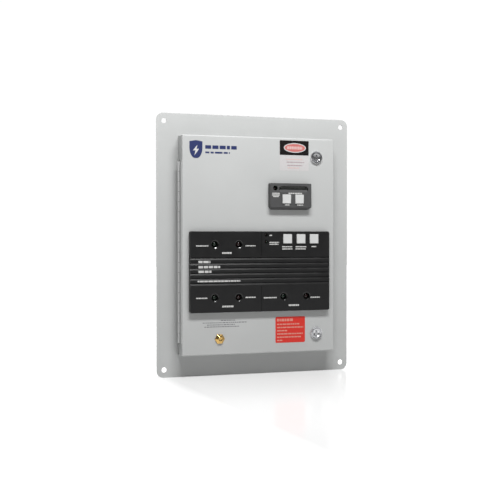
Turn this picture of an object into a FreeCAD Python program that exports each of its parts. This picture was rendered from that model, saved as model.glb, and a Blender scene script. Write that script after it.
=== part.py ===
import FreeCAD, Part
import math
import os

from FreeCAD import Vector

# A recessed whole house surge protector: a steel cabinet behind a wall flange, with a hinged door that
# carries the status panel and the surge counter.
# Millimetres. X to the right, Y into the wall, Z up. The origin is the centre of the wall flange's back
# face, so everything at Y below 0 stands out of the wall and everything above 0 is inside it.

# ---- cabinet and door ----
door_w = 304.8
door_h = 406.4
door_depth = 11.5            # front face to the rear of the folded return
door_sheet = 1.5
door_return = 9.0            # width of the inward fold behind the return
door_bend_r = 2.0
seal_gap = 3.0               # door return to cabinet lip
gasket_clear = 0.4
gasket_w = 7.0
collar_out = 12.5            # cabinet rim in front of the flange
cabinet_inset = 0.8          # cabinet wall behind the door's edge
cabinet_depth = 73.0         # behind the wall plane
cabinet_sheet = 1.6
cabinet_bend_r = 2.0
lip_w = 16.0
flange_t = 1.6
flange_margin = 41.3
flange_corner_r = 13.0
flange_hole_d = 9.5
flange_hole_inset = 14.5
entry_hole_d = 28.6          # conduit entry, left open
entry_x = 60.0
entry_y = 44.0
knockout_d = 22.2
knockout_groove = 0.8
knockout_groove_depth = 0.5
knockout_pitch = 60.0

# ---- piano hinge ----
hinge_len = 335.0
hinge_z = -12.5              # middle of the hinge's length
hinge_barrel_r = 2.5
hinge_pin_r = 1.2
hinge_pin_clear = 0.05
hinge_leaf_t = 0.9
hinge_leaf_w = 8.5
hinge_knuckle_len = 18.0
hinge_knuckle_gap = 0.7
hinge_pin_proud = 0.8

# ---- status panel on the door ----
panel_w = 279.4
panel_h = 150.4
panel_z = -49.0
panel_proud = 8.5
panel_wall = 2.5
panel_corner_r = 3.5
panel_edge_r = 1.0
window_margin_x = 17.0       # panel edge to the door's cut-out
window_margin_z = 3.5
well_r = 7.75
well_depth = 6.0
well_floor = 1.5
well_wall = 1.5
light_r = 5.0
light_clear = 0.2
light_dome_out = 3.6         # dome above the well's floor
small_hole_r = 3.2
small_light_r = 1.8
groove_w = 4.4
groove_depth = 1.5
groove_floor = 0.6           # place of the groove's deepest line, as a share of its half width
groove_drops = [24.5, 34.0, 43.3, 52.7, 62.0, 71.4]   # below the door's middle
split_groove_w = 1.6
split_groove_depth = 1.0
left_light_x = (-92.0, -45.0)
right_light_x = (45.0, 92.0)
upper_light_z = 2.2
lower_light_z = -96.3
small_light_x = 9.5
small_light_z = (19.4, 6.5)
boss_r = 2.6
boss_clear = 0.2
boss_inset_x = 8.5
boss_pitch_z = 58.0
boss_shoulder_r = 4.1
boss_tail = 3.6
push_nut_t = 1.0
small_light_set_back = 1.2

# ---- push buttons ----
button_side = 17.5
button_corner_r = 1.0
button_proud = 1.8
button_clear = 0.25
button_rim = 1.5
button_rim_t = 1.2
button_rim_gap = 0.15
button_edge_r = 0.6
button_stem_r = 3.0
button_stem_len = 2.2
counter_stem_len = 0.8
button_travel = 1.2
button_spare = 0.15          # stem to switch when fully pressed
button_x = (52.5, 80.0, 107.0)
button_z = 12.1
switch_side = 12.0
switch_h = 3.0
switch_plunger_r = 1.7
counter_switch_side = 7.0
counter_switch_h = 1.5

# ---- circuit board behind the status panel ----
board_t = 1.6
board_clear = 1.5            # board edge to the door's cut-out
board_set_back = 2.6         # board front behind the door's front face
spacer_r = 3.0
spacer_inset = 8.0
spacer_screw_r = 1.5
spacer_hole_r = 1.6
spacer_cap_t = 1.8
buzzer_x = 60.0
buzzer_z = -37.0
buzzer_r = 11.0
buzzer_h = 9.0
buzzer_hole_r = 2.0
buzzer_hole_deep = 3.0
chip_h = 3.4
chips = ((-30.0, -45.0, 26.0, 12.0), (10.0, -45.0, 20.0, 9.0),      # centre x, centre z, width, height
         (-30.0, -72.0, 14.0, 8.0), (10.0, -72.0, 11.0, 5.0))
header_len = 14.0
header_w = 8.0
header_h = 7.0

# ---- surge counter ----
counter_w = 84.0
counter_h = 50.0
counter_x = 58.8
counter_z = 91.9
counter_proud = 11.0
counter_wall = 2.2
counter_corner = 5.0
counter_top_r = 2.0
counter_edge_r = 0.7
counter_boss_inset = 6.0
counter_play = 0.5           # board and display to what is round them
counter_skirt = 4.5          # height of the sloped skirt under the face
counter_screen_w = 60.0
counter_screen_h = 11.6
counter_screen_x = 64.3
counter_screen_z = 105.8
counter_screen_deep = 6.0
counter_screen_sill = 6.2     # height of the slope from the slot's lower edge in to the window
counter_rim = 2.0
counter_light_x = 27.0
counter_light_z = 107.6
counter_light_hole_r = 4.7
counter_light_r = 3.8
counter_light_set_back = 3.0
counter_button_x = (49.7, 75.8)
counter_button_z = 87.2
counter_button_side = 17.0
counter_board_t = 1.2
counter_board_gap = 0.8      # board to the door's front face
counter_window_t = 1.0
counter_cable_r = 9.0

# ---- locks and the ground bolt on the door ----
lock_x = 115.0
lock_z = 168.0
lock_head_r = 12.0
lock_head_t = 4.0
lock_head_chamfer = 1.4
lock_body_r = 9.5
lock_body_len = 17.0         # behind the door's front face
lock_plug_r = 6.5
lock_plug_clear = 0.05
lock_face_set_back = 0.9
lock_tail_len = 4.6
lock_tail_side = 7.0
lock_cam_gap = 0.6
lock_cam_clear = 0.1
lock_cam_t = 2.5
lock_cam_w = 13.0
lock_cam_reach = 23.0
lock_nut_t = 4.0
lock_nut_across = 25.0
keyway_w = 1.6
keyway_h = 8.0
keyway_depth = 5.0
keyway_ward_r = 1.44
ground_bolt_x = -80.0
ground_bolt_z = -173.6
ground_bolt_across = 15.5
ground_bolt_head = 5.2
ground_bolt_r = 4.0
ground_bolt_len = 17.0
ground_bolt_turn = 28.0      # degrees
ground_cone_in = 0.6         # the head's rounded end: radius lost at its face,
ground_cone_out = 9.4        # radius gained over the cone's rise
ground_cone_rise = 5.0
ground_slot_w = 2.0
ground_slot_depth = 1.8
ground_washer_r = 8.1
ground_washer_t = 1.2
ground_nut_t = 6.5
ground_nut_across = 13.0

# ---- labels on the door ----
label_t = 0.15
upper_label = (69.8, 170.1, 60.0, 57.4)      # centre x, centre z, width, height
lower_label = (61.8, -160.3, 60.6, 49.3)
label_corner_r = 1.2

# ---- inside the cabinet ----
sub_panel_w = 256.0
sub_panel_h = 352.0
sub_panel_t = 2.0
standoff_len = 8.0
standoff_across = 10.0
standoff_inset = 12.0
stud_r = 2.5
stud_proud = 6.5
panel_nut_across = 9.5
panel_nut_t = 4.0
module_w = 102.0
module_h = 108.0
module_d = 46.0
module_wall = 3.0
module_x = 66.0
module_row_z = (84.0, -50.0)     # right column
module_left_z = -63.0
module_corner_r = 4.0
module_face_t = 4.0
module_chamfer = 1.5
module_ribs = 7
module_rib_pitch = 6.0
module_rib_w = 2.0
module_rib_depth = 1.0
module_rib_inset = 12.0
module_ear_w = 12.0
module_ear_t = 5.0
module_screw_r = 2.4
module_screw_head_r = 4.56
module_screw_head_t = 3.0
module_slot_w = 1.0
module_slot_depth = 1.4
varistor_r = 16.0
varistor_t = 6.5
varistor_pitch = 11.0
varistor_row_gap = 4.0       # disc to the module's middle line
busbar_w = 8.0
busbar_t = 3.0
busbar_x = 6.0               # off the cabinet's middle, one bar each side
phase_bar_y = 50.0
neutral_bar_y = 42.0
tab_w = 12.0
tab_t = 3.0
tab_nut_t = 3.0
tab_offset_z = 26.0
support_t = 10.0
terminal_pitch = 22.0
terminal_poles = 3
terminal_h = 34.0
terminal_d = 30.0
terminal_z = -143.0
terminal_x = 62.0
terminal_wall = 5.0
port_side = 11.0
port_deep = 18.0
port_cover = 9.0             # wall in front of the wire ports
clamp_screw_r = 3.6
clamp_screw_len = 9.0
clamp_screw_proud = 1.5
clamp_slot_w = 1.2
ground_bar_len = 92.0
ground_bar_w = 11.0
ground_bar_d = 12.0
ground_bar_x = -66.0
ground_bar_z = -146.0
ground_bar_hole_r = 2.2
ground_bar_hole_pitch = 11.0
ground_bar_foot = 8.0
ground_wire_back = 4.5       # wire hole to the bar's rear face
ground_screw_proud = 3.0
ground_screw_deep = 4.0
ground_screw_slot_w = 0.9
ground_screw_slot_depth = 1.2
interface_w = 100.0
interface_h = 126.0
interface_z = 69.0
interface_spacer_h = 8.0
fuse_r = 5.2
fuse_len = 38.0
fuse_pitch = 20.0
fuse_drop = 26.0             # board's top to the first fuse
fuse_clear = 3.0
clip_w = 7.0
clip_t = 1.2
clip_foot_front = 1.0
clip_grip = 0.5              # mouth narrower than the fuse on each side
transformer_w = 44.0
transformer_h = 36.0
transformer_d = 32.0
transformer_right = 24.0     # of the board's middle
transformer_below = 8.0
transformer_corner_r = 3.0
transformer_chamfer = 1.2
capacitor_w = 30.0
capacitor_t = 11.0
capacitor_h = 22.0
capacitor_pitch = 15.0
capacitor_left = 26.0        # of the board's middle
capacitor_above = 3.0
capacitor_corner_r = 1.5

# ---- ribbon cable between door and cabinet ----
ribbon_w = 12.0
ribbon_t = 1.0
ribbon_z = 14.0
ribbon_bend_r = 5.0
ribbon_wall_gap = 9.0

# ---- planes worked out from the sizes above ----
flange_front = -flange_t
lip_front = flange_front - collar_out
door_back = lip_front - seal_gap
door_front = door_back - door_depth
door_inner = door_front + door_sheet
cabinet_w = door_w - 2 * cabinet_inset
cabinet_h = door_h - 2 * cabinet_inset
flange_w = door_w + 2 * flange_margin
flange_h = door_h + 2 * flange_margin
hole_span_x = flange_w - 2 * flange_hole_inset
hole_span_z = flange_h - 2 * flange_hole_inset
hinge_x = -door_w / 2 - hinge_barrel_r
hinge_y = lip_front - seal_gap / 2
panel_front = door_front - panel_proud
panel_inner = panel_front + panel_wall
well_floor_y = panel_front + well_depth
window_w = panel_w - 2 * window_margin_x
window_h = panel_h - 2 * window_margin_z
board_front = door_front + board_set_back
board_back = board_front + board_t
board_w = window_w - 2 * board_clear
board_h = window_h - 2 * board_clear
counter_front = door_front - counter_proud
counter_inner = counter_front + counter_wall
counter_board_back = door_front - counter_board_gap
counter_board_front = counter_board_back - counter_board_t
screen_floor = counter_front + counter_screen_deep
sub_panel_back = cabinet_depth - cabinet_sheet - standoff_len
sub_panel_front = sub_panel_back - sub_panel_t
module_front = sub_panel_front - module_d
interface_back = sub_panel_front - interface_spacer_h
interface_front = interface_back - board_t
interface_x = -module_x


def block(x0, x1, y0, y1, z0, z1):
    return Part.makeBox(x1 - x0, y1 - y0, z1 - z0, Vector(x0, y0, z0))


def block_at(x, z, w, h, y0, y1):
    """A box centred on x and z, between the planes y0 and y1."""
    return block(x - w / 2, x + w / 2, y0, y1, z - h / 2, z + h / 2)


def rod(x, z, r, y0, y1):
    """A cylinder along Y."""
    return Part.makeCylinder(r, y1 - y0, Vector(x, y0, z), Vector(0, 1, 0))


def post(x, y, r, z0, z1):
    """A cylinder along Z."""
    return Part.makeCylinder(r, z1 - z0, Vector(x, y, z0), Vector(0, 0, 1))


def hexagon(x, z, across, y0, y1):
    """A hexagonal prism along Y with flats at the sides."""
    r = across / math.sqrt(3)
    points = []
    for i in range(7):
        a = math.radians(60 * i + 30)
        points.append(Vector(x + r * math.cos(a), y0, z + r * math.sin(a)))
    return Part.Face(Part.makePolygon(points)).extrude(Vector(0, y1 - y0, 0))


def rounded(x, z, w, h, r, y0, y1):
    """A plate centred on x and z with its four corners rounded, between the planes y0 and y1."""
    plate = block_at(x, z, w, h, y0, y1)
    return plate.makeFillet(r, edges_along(plate, Vector(0, 1, 0)))


def edges_along(shape, direction):
    found = []
    for edge in shape.Edges:
        if edge.Curve.TypeId != "Part::GeomLine":
            continue
        along = edge.lastVertex().Point - edge.firstVertex().Point
        if along.cross(direction).Length < 1e-6 * max(along.Length, 1e-9):
            found.append(edge)
    return found


def edges_on_plane(shape, y):
    """Every edge that lies wholly in the plane Y = y."""
    found = []
    for edge in shape.Edges:
        bb = edge.BoundBox
        if abs(bb.YMin - y) < 1e-6 and abs(bb.YMax - y) < 1e-6:
            found.append(edge)
    return found


def corners(x, z):
    """The four places at plus or minus x and plus or minus z."""
    return [(sx * x, sz * z) for sx in (-1, 1) for sz in (-1, 1)]


def group(shapes):
    return Part.makeCompound(shapes)


def save(name, shape):
    solids = shape.Solids
    for solid in solids:
        if not solid.isValid():
            raise ValueError(name + " has a faulty solid")
    shape.exportStep("parts/" + name + ".step")
    print(name, len(solids), "solids", round(shape.Volume / 1000, 2), "cm3")


# ---------------------------------------------------------------- cabinet

def wall_flange():
    """The flat trim flange round the cabinet, with four wall screw holes."""
    plate = rounded(0, 0, flange_w, flange_h, flange_corner_r, flange_front, 0)
    plate = plate.cut(block_at(0, 0, cabinet_w, cabinet_h, flange_front, 0))
    for x, z in corners(hole_span_x / 2, hole_span_z / 2):
        plate = plate.cut(rod(x, z, flange_hole_d / 2, flange_front, 0))
    return plate


def knockout_rings():
    """Shallow ring grooves that leave scored discs in the top and bottom plates."""
    rings = []
    for x in (-knockout_pitch * 1.5, -knockout_pitch / 2, knockout_pitch / 2, knockout_pitch * 1.5):
        rings.append(Vector(x, entry_y, cabinet_h / 2))
    for x in (-knockout_pitch * 1.5, -knockout_pitch / 2):
        rings.append(Vector(x, entry_y, -cabinet_h / 2))
    cuts = []
    for centre in rings:
        inward = -1 if centre.z > 0 else 1
        axis = Vector(0, 0, inward)
        outer = Part.makeCylinder(knockout_d / 2, knockout_groove_depth, centre, axis)
        inner = Part.makeCylinder(knockout_d / 2 - knockout_groove, knockout_groove_depth, centre, axis)
        cuts.append(outer.cut(inner))
    return cuts


def back_box():
    """The folded body of the cabinet: one sheet bent into left wall, back and right wall."""
    front = lip_front + cabinet_sheet
    shell = block_at(0, 0, cabinet_w, cabinet_h, front, cabinet_depth)
    shell = shell.makeFillet(cabinet_bend_r, back_bends(shell))
    return shell.cut(block_at(0, 0, cabinet_w - 2 * cabinet_sheet, cabinet_h, front,
                              cabinet_depth - cabinet_sheet))


def back_bends(shell):
    """The two upright rear edges of the cabinet's body."""
    found = []
    for edge in edges_on_plane(shell, cabinet_depth):
        if edge.BoundBox.ZLength > cabinet_h / 2:
            found.append(edge)
    return found


def box_ends():
    """Flat top and bottom plates between the side walls, with scored discs and the conduit entry."""
    half = cabinet_w / 2 - cabinet_sheet
    plates = []
    for side in (-1, 1):
        outer = side * cabinet_h / 2
        inner = side * (cabinet_h / 2 - cabinet_sheet)
        plate = block(-half, half, lip_front + cabinet_sheet, cabinet_depth - cabinet_sheet,
                      min(outer, inner), max(outer, inner))
        if side < 0:
            plate = plate.cut(post(entry_x, entry_y, entry_hole_d / 2, outer, inner))
        for ring in knockout_rings():
            plate = plate.cut(ring)
        plates.append(plate)
    return group(plates)


def door_rim():
    """The flat frame round the cabinet's mouth that the door's gasket closes on."""
    frame = rounded(0, 0, cabinet_w, cabinet_h, cabinet_bend_r, lip_front, lip_front + cabinet_sheet)
    return frame.cut(rounded(0, 0, cabinet_w - 2 * lip_w, cabinet_h - 2 * lip_w, cabinet_bend_r,
                             lip_front, lip_front + cabinet_sheet))


def standoff_places():
    return corners(sub_panel_w / 2 - standoff_inset, sub_panel_h / 2 - standoff_inset)


def sub_panel():
    """The steel plate that carries the electrical parts."""
    plate = rounded(0, 0, sub_panel_w, sub_panel_h, cabinet_bend_r, sub_panel_front, sub_panel_back)
    for x, z in standoff_places():
        plate = plate.cut(rod(x, z, stud_r + boss_clear, sub_panel_front, sub_panel_back))
    return plate


def panel_standoffs():
    """Hexagonal pillars with a threaded end through the sub-panel."""
    pillars = []
    for x, z in standoff_places():
        pillar = hexagon(x, z, standoff_across, sub_panel_back, sub_panel_back + standoff_len)
        pillars.append(pillar.fuse(rod(x, z, stud_r, sub_panel_front - stud_proud, sub_panel_back)))
    return group(pillars)


def panel_nuts():
    nuts = []
    for x, z in standoff_places():
        nut = hexagon(x, z, panel_nut_across, sub_panel_front - panel_nut_t, sub_panel_front)
        nuts.append(nut.cut(rod(x, z, stud_r, sub_panel_front - panel_nut_t, sub_panel_front)))
    return group(nuts)


# ---------------------------------------------------------------- surge modules

def module_places():
    """Middle of each module: upper right, lower left and lower right."""
    upper, lower = module_row_z
    return [(module_x, upper), (-module_x, module_left_z), (module_x, lower)]


def module_screw_places(x, z):
    reach = module_h / 2 + module_ear_w / 2
    return [(x + side * module_w / 4, z + end * reach) for side in (-1, 1) for end in (-1, 1)]


def surge_module(x, z):
    """A potted surge module: a ribbed housing with two ears at each end and a hollow for its discs."""
    body = rounded(x, z, module_w, module_h, module_corner_r, module_front, sub_panel_front)
    body = body.makeChamfer(module_chamfer, edges_on_plane(body, module_front))
    for rib in range(module_ribs):
        rib_z = z + (rib - (module_ribs - 1) / 2) * module_rib_pitch
        body = body.cut(block_at(x, rib_z, module_w - 2 * module_rib_inset, module_rib_w,
                                 module_front, module_front + module_rib_depth))
    for sx, sz in module_screw_places(x, z):
        ear = block_at(sx, sz, module_ear_w, module_ear_w, sub_panel_front - module_ear_t, sub_panel_front)
        body = body.fuse(ear)
        body = body.cut(rod(sx, sz, module_screw_r + boss_clear, sub_panel_front - module_ear_t,
                            sub_panel_front))
    hollow = block_at(x, z, module_w - 2 * module_wall, module_h - 2 * module_wall,
                      module_front + module_face_t, sub_panel_front - module_wall)
    return body.cut(hollow).removeSplitter()


def module_screws():
    """Pan-head screws through the modules' ears."""
    screws = []
    seat = sub_panel_front - module_ear_t
    for x, z in module_places():
        for sx, sz in module_screw_places(x, z):
            top = seat - module_screw_head_t
            head = rod(sx, sz, module_screw_head_r, top, seat)
            head = head.cut(block_at(sx, sz, 2 * module_screw_r, module_slot_w,
                                     top, top + module_slot_depth))
            screws.append(head.fuse(rod(sx, sz, module_screw_r, seat, sub_panel_front)))
    return group(screws)


def varistor_discs():
    """Six metal oxide discs on edge inside each module."""
    discs = []
    disc_y = sub_panel_front - module_wall - varistor_r
    for x, z in module_places():
        for column in (-1, 1):
            for row in (-1, 0, 1):
                start = x + row * 2 * varistor_pitch - varistor_t / 2
                centre = Vector(start, disc_y, z + column * (varistor_r + varistor_row_gap))
                discs.append(Part.makeCylinder(varistor_r, varistor_t, centre, Vector(1, 0, 0)))
    return group(discs)


def tab_ends(x):
    """Inner side face of a module and the side that it is on."""
    side = 1 if x > 0 else -1
    return side, x - side * module_w / 2


def module_tabs():
    """Copper tabs from each module to the phase bar and to the neutral bar."""
    tabs = []
    for x, z in module_places():
        side, face = tab_ends(x)
        for bar_x, bar_y, drop in ((-busbar_x, phase_bar_y, tab_offset_z),
                                   (busbar_x, neutral_bar_y, -tab_offset_z)):
            far = bar_x - side * busbar_w / 2
            x0, x1 = min(face, far), max(face, far)
            tab = block(x0, x1, bar_y - tab_t, bar_y, z + drop - tab_w / 2, z + drop + tab_w / 2)
            head = hexagon(bar_x, z + drop, busbar_w, bar_y - tab_t - tab_nut_t, bar_y - tab_t)
            tabs.append(tab.fuse(head).removeSplitter())
    return group(tabs)


def busbar_reach():
    rows = [z for x, z in module_places()]
    return min(rows) - module_h / 2, max(rows) + module_h / 2


def busbars():
    """Two upright copper bars between the module columns."""
    low, high = busbar_reach()
    bars = []
    for bar_x, bar_y in ((-busbar_x, phase_bar_y), (busbar_x, neutral_bar_y)):
        bars.append(block(bar_x - busbar_w / 2, bar_x + busbar_w / 2, bar_y, bar_y + busbar_t, low, high))
    return group(bars)


def busbar_supports():
    """Moulded insulators that hold both bars at their ends."""
    low, high = busbar_reach()
    blocks = []
    half = busbar_x + busbar_w / 2
    for z in (low + support_t / 2, high - support_t / 2):
        for bar_x, bar_y in ((-busbar_x, phase_bar_y), (busbar_x, neutral_bar_y)):
            blocks.append(block(min(0, bar_x * half / abs(bar_x)), max(0, bar_x * half / abs(bar_x)),
                                bar_y + busbar_t, sub_panel_front, z - support_t / 2, z + support_t / 2))
    paired = [blocks[0].fuse(blocks[1]).removeSplitter(), blocks[2].fuse(blocks[3]).removeSplitter()]
    return group(paired)


# ---------------------------------------------------------------- terminals

def pole_places():
    first = terminal_x - terminal_pitch * (terminal_poles - 1) / 2
    return [first + i * terminal_pitch for i in range(terminal_poles)]


def terminal_block():
    """The incoming line and neutral block, with one square wire port under each pole."""
    width = terminal_pitch * terminal_poles + 2 * terminal_wall
    y0 = sub_panel_front - terminal_d
    body = block_at(terminal_x, terminal_z, width, terminal_h, y0, sub_panel_front)
    low = terminal_z - terminal_h / 2
    for x in pole_places():
        port_front = y0 + port_cover
        port = block(x - port_side / 2, x + port_side / 2, port_front, port_front + port_side,
                     low, low + port_deep)
        body = body.cut(port)
        body = body.cut(rod(x, low + port_deep / 2, clamp_screw_r, y0, port_front))
    return body


def clamp_screws():
    """Slotted clamp screws of the terminal block and the ground bar."""
    screws = []
    face = sub_panel_front - terminal_d
    top = face - clamp_screw_proud
    z = terminal_z - terminal_h / 2 + port_deep / 2
    for x in pole_places():
        screw = rod(x, z, clamp_screw_r, top, top + clamp_screw_len)
        screws.append(screw.cut(block_at(x, z, clamp_screw_r * 2, clamp_slot_w, top, face)))
    face = ground_bar_front()
    top = face - ground_screw_proud
    for x in ground_hole_places():
        screw = rod(x, ground_bar_z, ground_bar_hole_r, top, face + ground_screw_deep)
        slot = block_at(x, ground_bar_z, ground_bar_hole_r * 2, ground_screw_slot_w, top,
                        top + ground_screw_slot_depth)
        screws.append(screw.cut(slot))
    return group(screws)


def ground_bar_front():
    return sub_panel_front - ground_bar_foot - ground_bar_d


def ground_hole_places():
    count = int((ground_bar_len - 2 * ground_bar_foot) / ground_bar_hole_pitch)
    first = ground_bar_x - ground_bar_hole_pitch * (count - 1) / 2
    return [first + i * ground_bar_hole_pitch for i in range(count)]


def ground_bar():
    """The earth bar on two feet, drilled down for wires and from the front for screws."""
    face = ground_bar_front()
    half_w = ground_bar_w / 2
    body = block_at(ground_bar_x, ground_bar_z, ground_bar_len, ground_bar_w, face, face + ground_bar_d)
    for x in ground_hole_places():
        body = body.cut(rod(x, ground_bar_z, ground_bar_hole_r, face, face + ground_screw_deep))
        body = body.cut(post(x, face + ground_bar_d - ground_wire_back, ground_bar_hole_r,
                             ground_bar_z - half_w, ground_bar_z + half_w))
    for side in (-1, 1):
        x = ground_bar_x + side * (ground_bar_len - ground_bar_foot) / 2
        foot = block_at(x, ground_bar_z, ground_bar_foot, ground_bar_w, face + ground_bar_d,
                        sub_panel_front)
        body = body.fuse(foot)
    return body.removeSplitter()


# ---------------------------------------------------------------- interface board

def interface_corner_places():
    return [(interface_x + sx, interface_z + sz)
            for sx, sz in corners(interface_w / 2 - spacer_inset, interface_h / 2 - spacer_inset)]


def interface_board():
    board = block_at(interface_x, interface_z, interface_w, interface_h, interface_front, interface_back)
    for x, z in interface_corner_places():
        board = board.cut(rod(x, z, spacer_hole_r, interface_front, interface_back))
    return board


def interface_spacers():
    spacers = []
    for x, z in interface_corner_places():
        body = rod(x, z, spacer_r, interface_back, sub_panel_front)
        body = body.fuse(rod(x, z, spacer_screw_r, interface_front, interface_back))
        spacers.append(body.fuse(rod(x, z, spacer_r, interface_front - spacer_cap_t, interface_front)))
    return group(spacers)


def fuse_places():
    top = interface_z + interface_h / 2 - fuse_drop
    return [(interface_x, top), (interface_x, top - fuse_pitch)]


def fuse_axis_y():
    return interface_front - fuse_r - fuse_clear


def fuse_clips():
    """Spring clips at both ends of each fuse, in one moulded foot."""
    clips = []
    y = fuse_axis_y()
    for x, z in fuse_places():
        for side in (-1, 1):
            clip_x = x + side * (fuse_len / 2 - clip_w)
            half = fuse_r + clip_t
            clip = block_at(clip_x, z, clip_w, 2 * half, y - clip_foot_front, interface_front)
            bore = Part.makeCylinder(fuse_r, clip_w, Vector(clip_x - clip_w / 2, y, z), Vector(1, 0, 0))
            mouth = block_at(clip_x, z, clip_w, 2 * (fuse_r - clip_grip), y - half, y)
            clips.append(clip.cut(bore).cut(mouth))
    return group(clips)


def fuse_links():
    fuses = []
    y = fuse_axis_y()
    for x, z in fuse_places():
        start = Vector(x - fuse_len / 2, y, z)
        fuses.append(Part.makeCylinder(fuse_r, fuse_len, start, Vector(1, 0, 0)))
    return group(fuses)


def control_transformer():
    """A potted supply transformer with a moulded lip."""
    x = interface_x + transformer_right
    z = interface_z - transformer_below
    top = interface_front - transformer_d
    body = rounded(x, z, transformer_w, transformer_h, transformer_corner_r, top, interface_front)
    return body.makeChamfer(transformer_chamfer, edges_on_plane(body, top))


def filter_capacitors():
    """Three boxed film capacitors in a row."""
    cans = []
    x = interface_x - capacitor_left
    for i in range(3):
        z = interface_z + capacitor_above - i * capacitor_pitch
        cans.append(rounded(x, z, capacitor_w, capacitor_t, capacitor_corner_r,
                            interface_front - capacitor_h, interface_front))
    return group(cans)


def header(x, z, y0, y1):
    """A closed ribbon header, long along Z."""
    return block_at(x, z, header_w, header_len, y0, y1)


def interface_header():
    return header(ribbon_cabinet_x(), ribbon_z, interface_front - header_h, interface_front)


# ---------------------------------------------------------------- hinge

def knuckles(first):
    """Barrel lengths of one leaf, every second knuckle from the given one."""
    count = int(hinge_len / hinge_knuckle_len)
    pitch = hinge_len / count
    base = hinge_z - hinge_len / 2
    spans = []
    for i in range(first, count, 2):
        low = base + i * pitch + hinge_knuckle_gap / 2
        spans.append((low, low + pitch - hinge_knuckle_gap))
    return spans


def hinge_leaf(first, towards):
    """One leaf: a strip on the side wall and its share of the barrel. towards is +1 into the wall."""
    x0 = -door_w / 2 - hinge_leaf_t
    low, high = hinge_z - hinge_len / 2, hinge_z + hinge_len / 2
    start = hinge_y + towards * (hinge_barrel_r + hinge_knuckle_gap)
    end = hinge_y + towards * (hinge_barrel_r + hinge_leaf_w)
    leaf = block(x0, -door_w / 2, min(start, end), max(start, end), low, high)
    for z0, z1 in knuckles(first):
        barrel = post(hinge_x, hinge_y, hinge_barrel_r, z0, z1)
        tongue = block(x0, -door_w / 2, min(hinge_y, start), max(hinge_y, start), z0, z1)
        leaf = leaf.fuse(barrel).fuse(tongue)
    bore = post(hinge_x, hinge_y, hinge_pin_r + hinge_pin_clear, low - 1, high + 1)
    return leaf.cut(bore).removeSplitter()


def hinge_pad():
    """The strip that packs the cabinet leaf out to the line of the door's side."""
    low, high = hinge_z - hinge_len / 2, hinge_z + hinge_len / 2
    start = hinge_y + hinge_barrel_r + hinge_knuckle_gap
    return block(-door_w / 2, -cabinet_w / 2, start, hinge_y + hinge_barrel_r + hinge_leaf_w, low, high)


def hinge_box_leaf():
    return hinge_leaf(0, 1).fuse(hinge_pad()).removeSplitter()


def hinge_door_leaf():
    return hinge_leaf(1, -1)


def hinge_pin():
    reach = hinge_len / 2 + hinge_pin_proud
    return post(hinge_x, hinge_y, hinge_pin_r, hinge_z - reach, hinge_z + reach)


# ---------------------------------------------------------------- door

def door_pan():
    """The folded door: front sheet, side returns and an inward fold, pierced for what it carries."""
    pan = block_at(0, 0, door_w, door_h, door_front, door_back)
    rim = edges_on_plane(pan, door_front) + edges_along(pan, Vector(0, 1, 0))
    pan = pan.makeFillet(door_bend_r, rim)
    pan = pan.cut(block_at(0, 0, door_w - 2 * door_sheet, door_h - 2 * door_sheet,
                           door_inner, door_back - door_sheet))
    pan = pan.cut(block_at(0, 0, door_w - 2 * door_return, door_h - 2 * door_return,
                           door_back - door_sheet, door_back))
    pan = pan.cut(block_at(0, panel_z, window_w, window_h, door_front, door_inner))
    for x, z in panel_boss_places():
        pan = pan.cut(rod(x, z, boss_r + boss_clear, door_front, door_inner))
    for side in (-1, 1):
        pan = pan.cut(rod(lock_x, side * lock_z, lock_body_r + boss_clear, door_front, door_inner))
        pan = pan.cut(rod(counter_x + side * counter_boss_x(), counter_z, boss_r + boss_clear,
                          door_front, door_inner))
    pan = pan.cut(rod(ground_bolt_x, ground_bolt_z, ground_bolt_r + boss_clear, door_front, door_inner))
    pan = pan.cut(rod(counter_x, counter_z, counter_cable_r, door_front, door_inner))
    return pan


def door_gasket():
    """A foam frame on the door's inward fold."""
    outer_w = door_w - 2 * door_sheet
    outer_h = door_h - 2 * door_sheet
    y1 = lip_front - gasket_clear
    frame = block_at(0, 0, outer_w, outer_h, door_back, y1)
    return frame.cut(block_at(0, 0, outer_w - 2 * gasket_w, outer_h - 2 * gasket_w, door_back, y1))


# ---------------------------------------------------------------- status panel

def panel_boss_places():
    x = panel_w / 2 - boss_inset_x
    return [(side * x, panel_z + row * boss_pitch_z) for side in (-1, 1) for row in (-1, 0, 1)]


def light_places(which):
    """The left (0) or right (1) light of each of the three pairs."""
    return [(left_light_x[which], upper_light_z),
            (left_light_x[which], lower_light_z),
            (right_light_x[which], lower_light_z)]


def v_groove(z):
    """A shallow V-shaped groove across the whole panel."""
    half = groove_w / 2
    section = [Vector(-panel_w / 2, panel_front, z - half), Vector(-panel_w / 2, panel_front, z + half),
               Vector(-panel_w / 2, panel_front + groove_depth, z + half * groove_floor)]
    section.append(section[0])
    return Part.Face(Part.makePolygon(section)).extrude(Vector(panel_w, 0, 0))


def light_well(x, z):
    """Tube and floor of one recessed light, as (what to add, what to cut)."""
    add = rod(x, z, well_r + well_wall, panel_inner, well_floor_y + well_floor)
    cut = rod(x, z, well_r, panel_front, well_floor_y)
    cut = cut.fuse(rod(x, z, light_r + light_clear, well_floor_y, well_floor_y + well_floor))
    return add, cut


def button_hole(x, z, side, y0, y1):
    size = side + 2 * button_clear
    return rounded(x, z, size, size, button_corner_r + button_clear, y0, y1)


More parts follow.
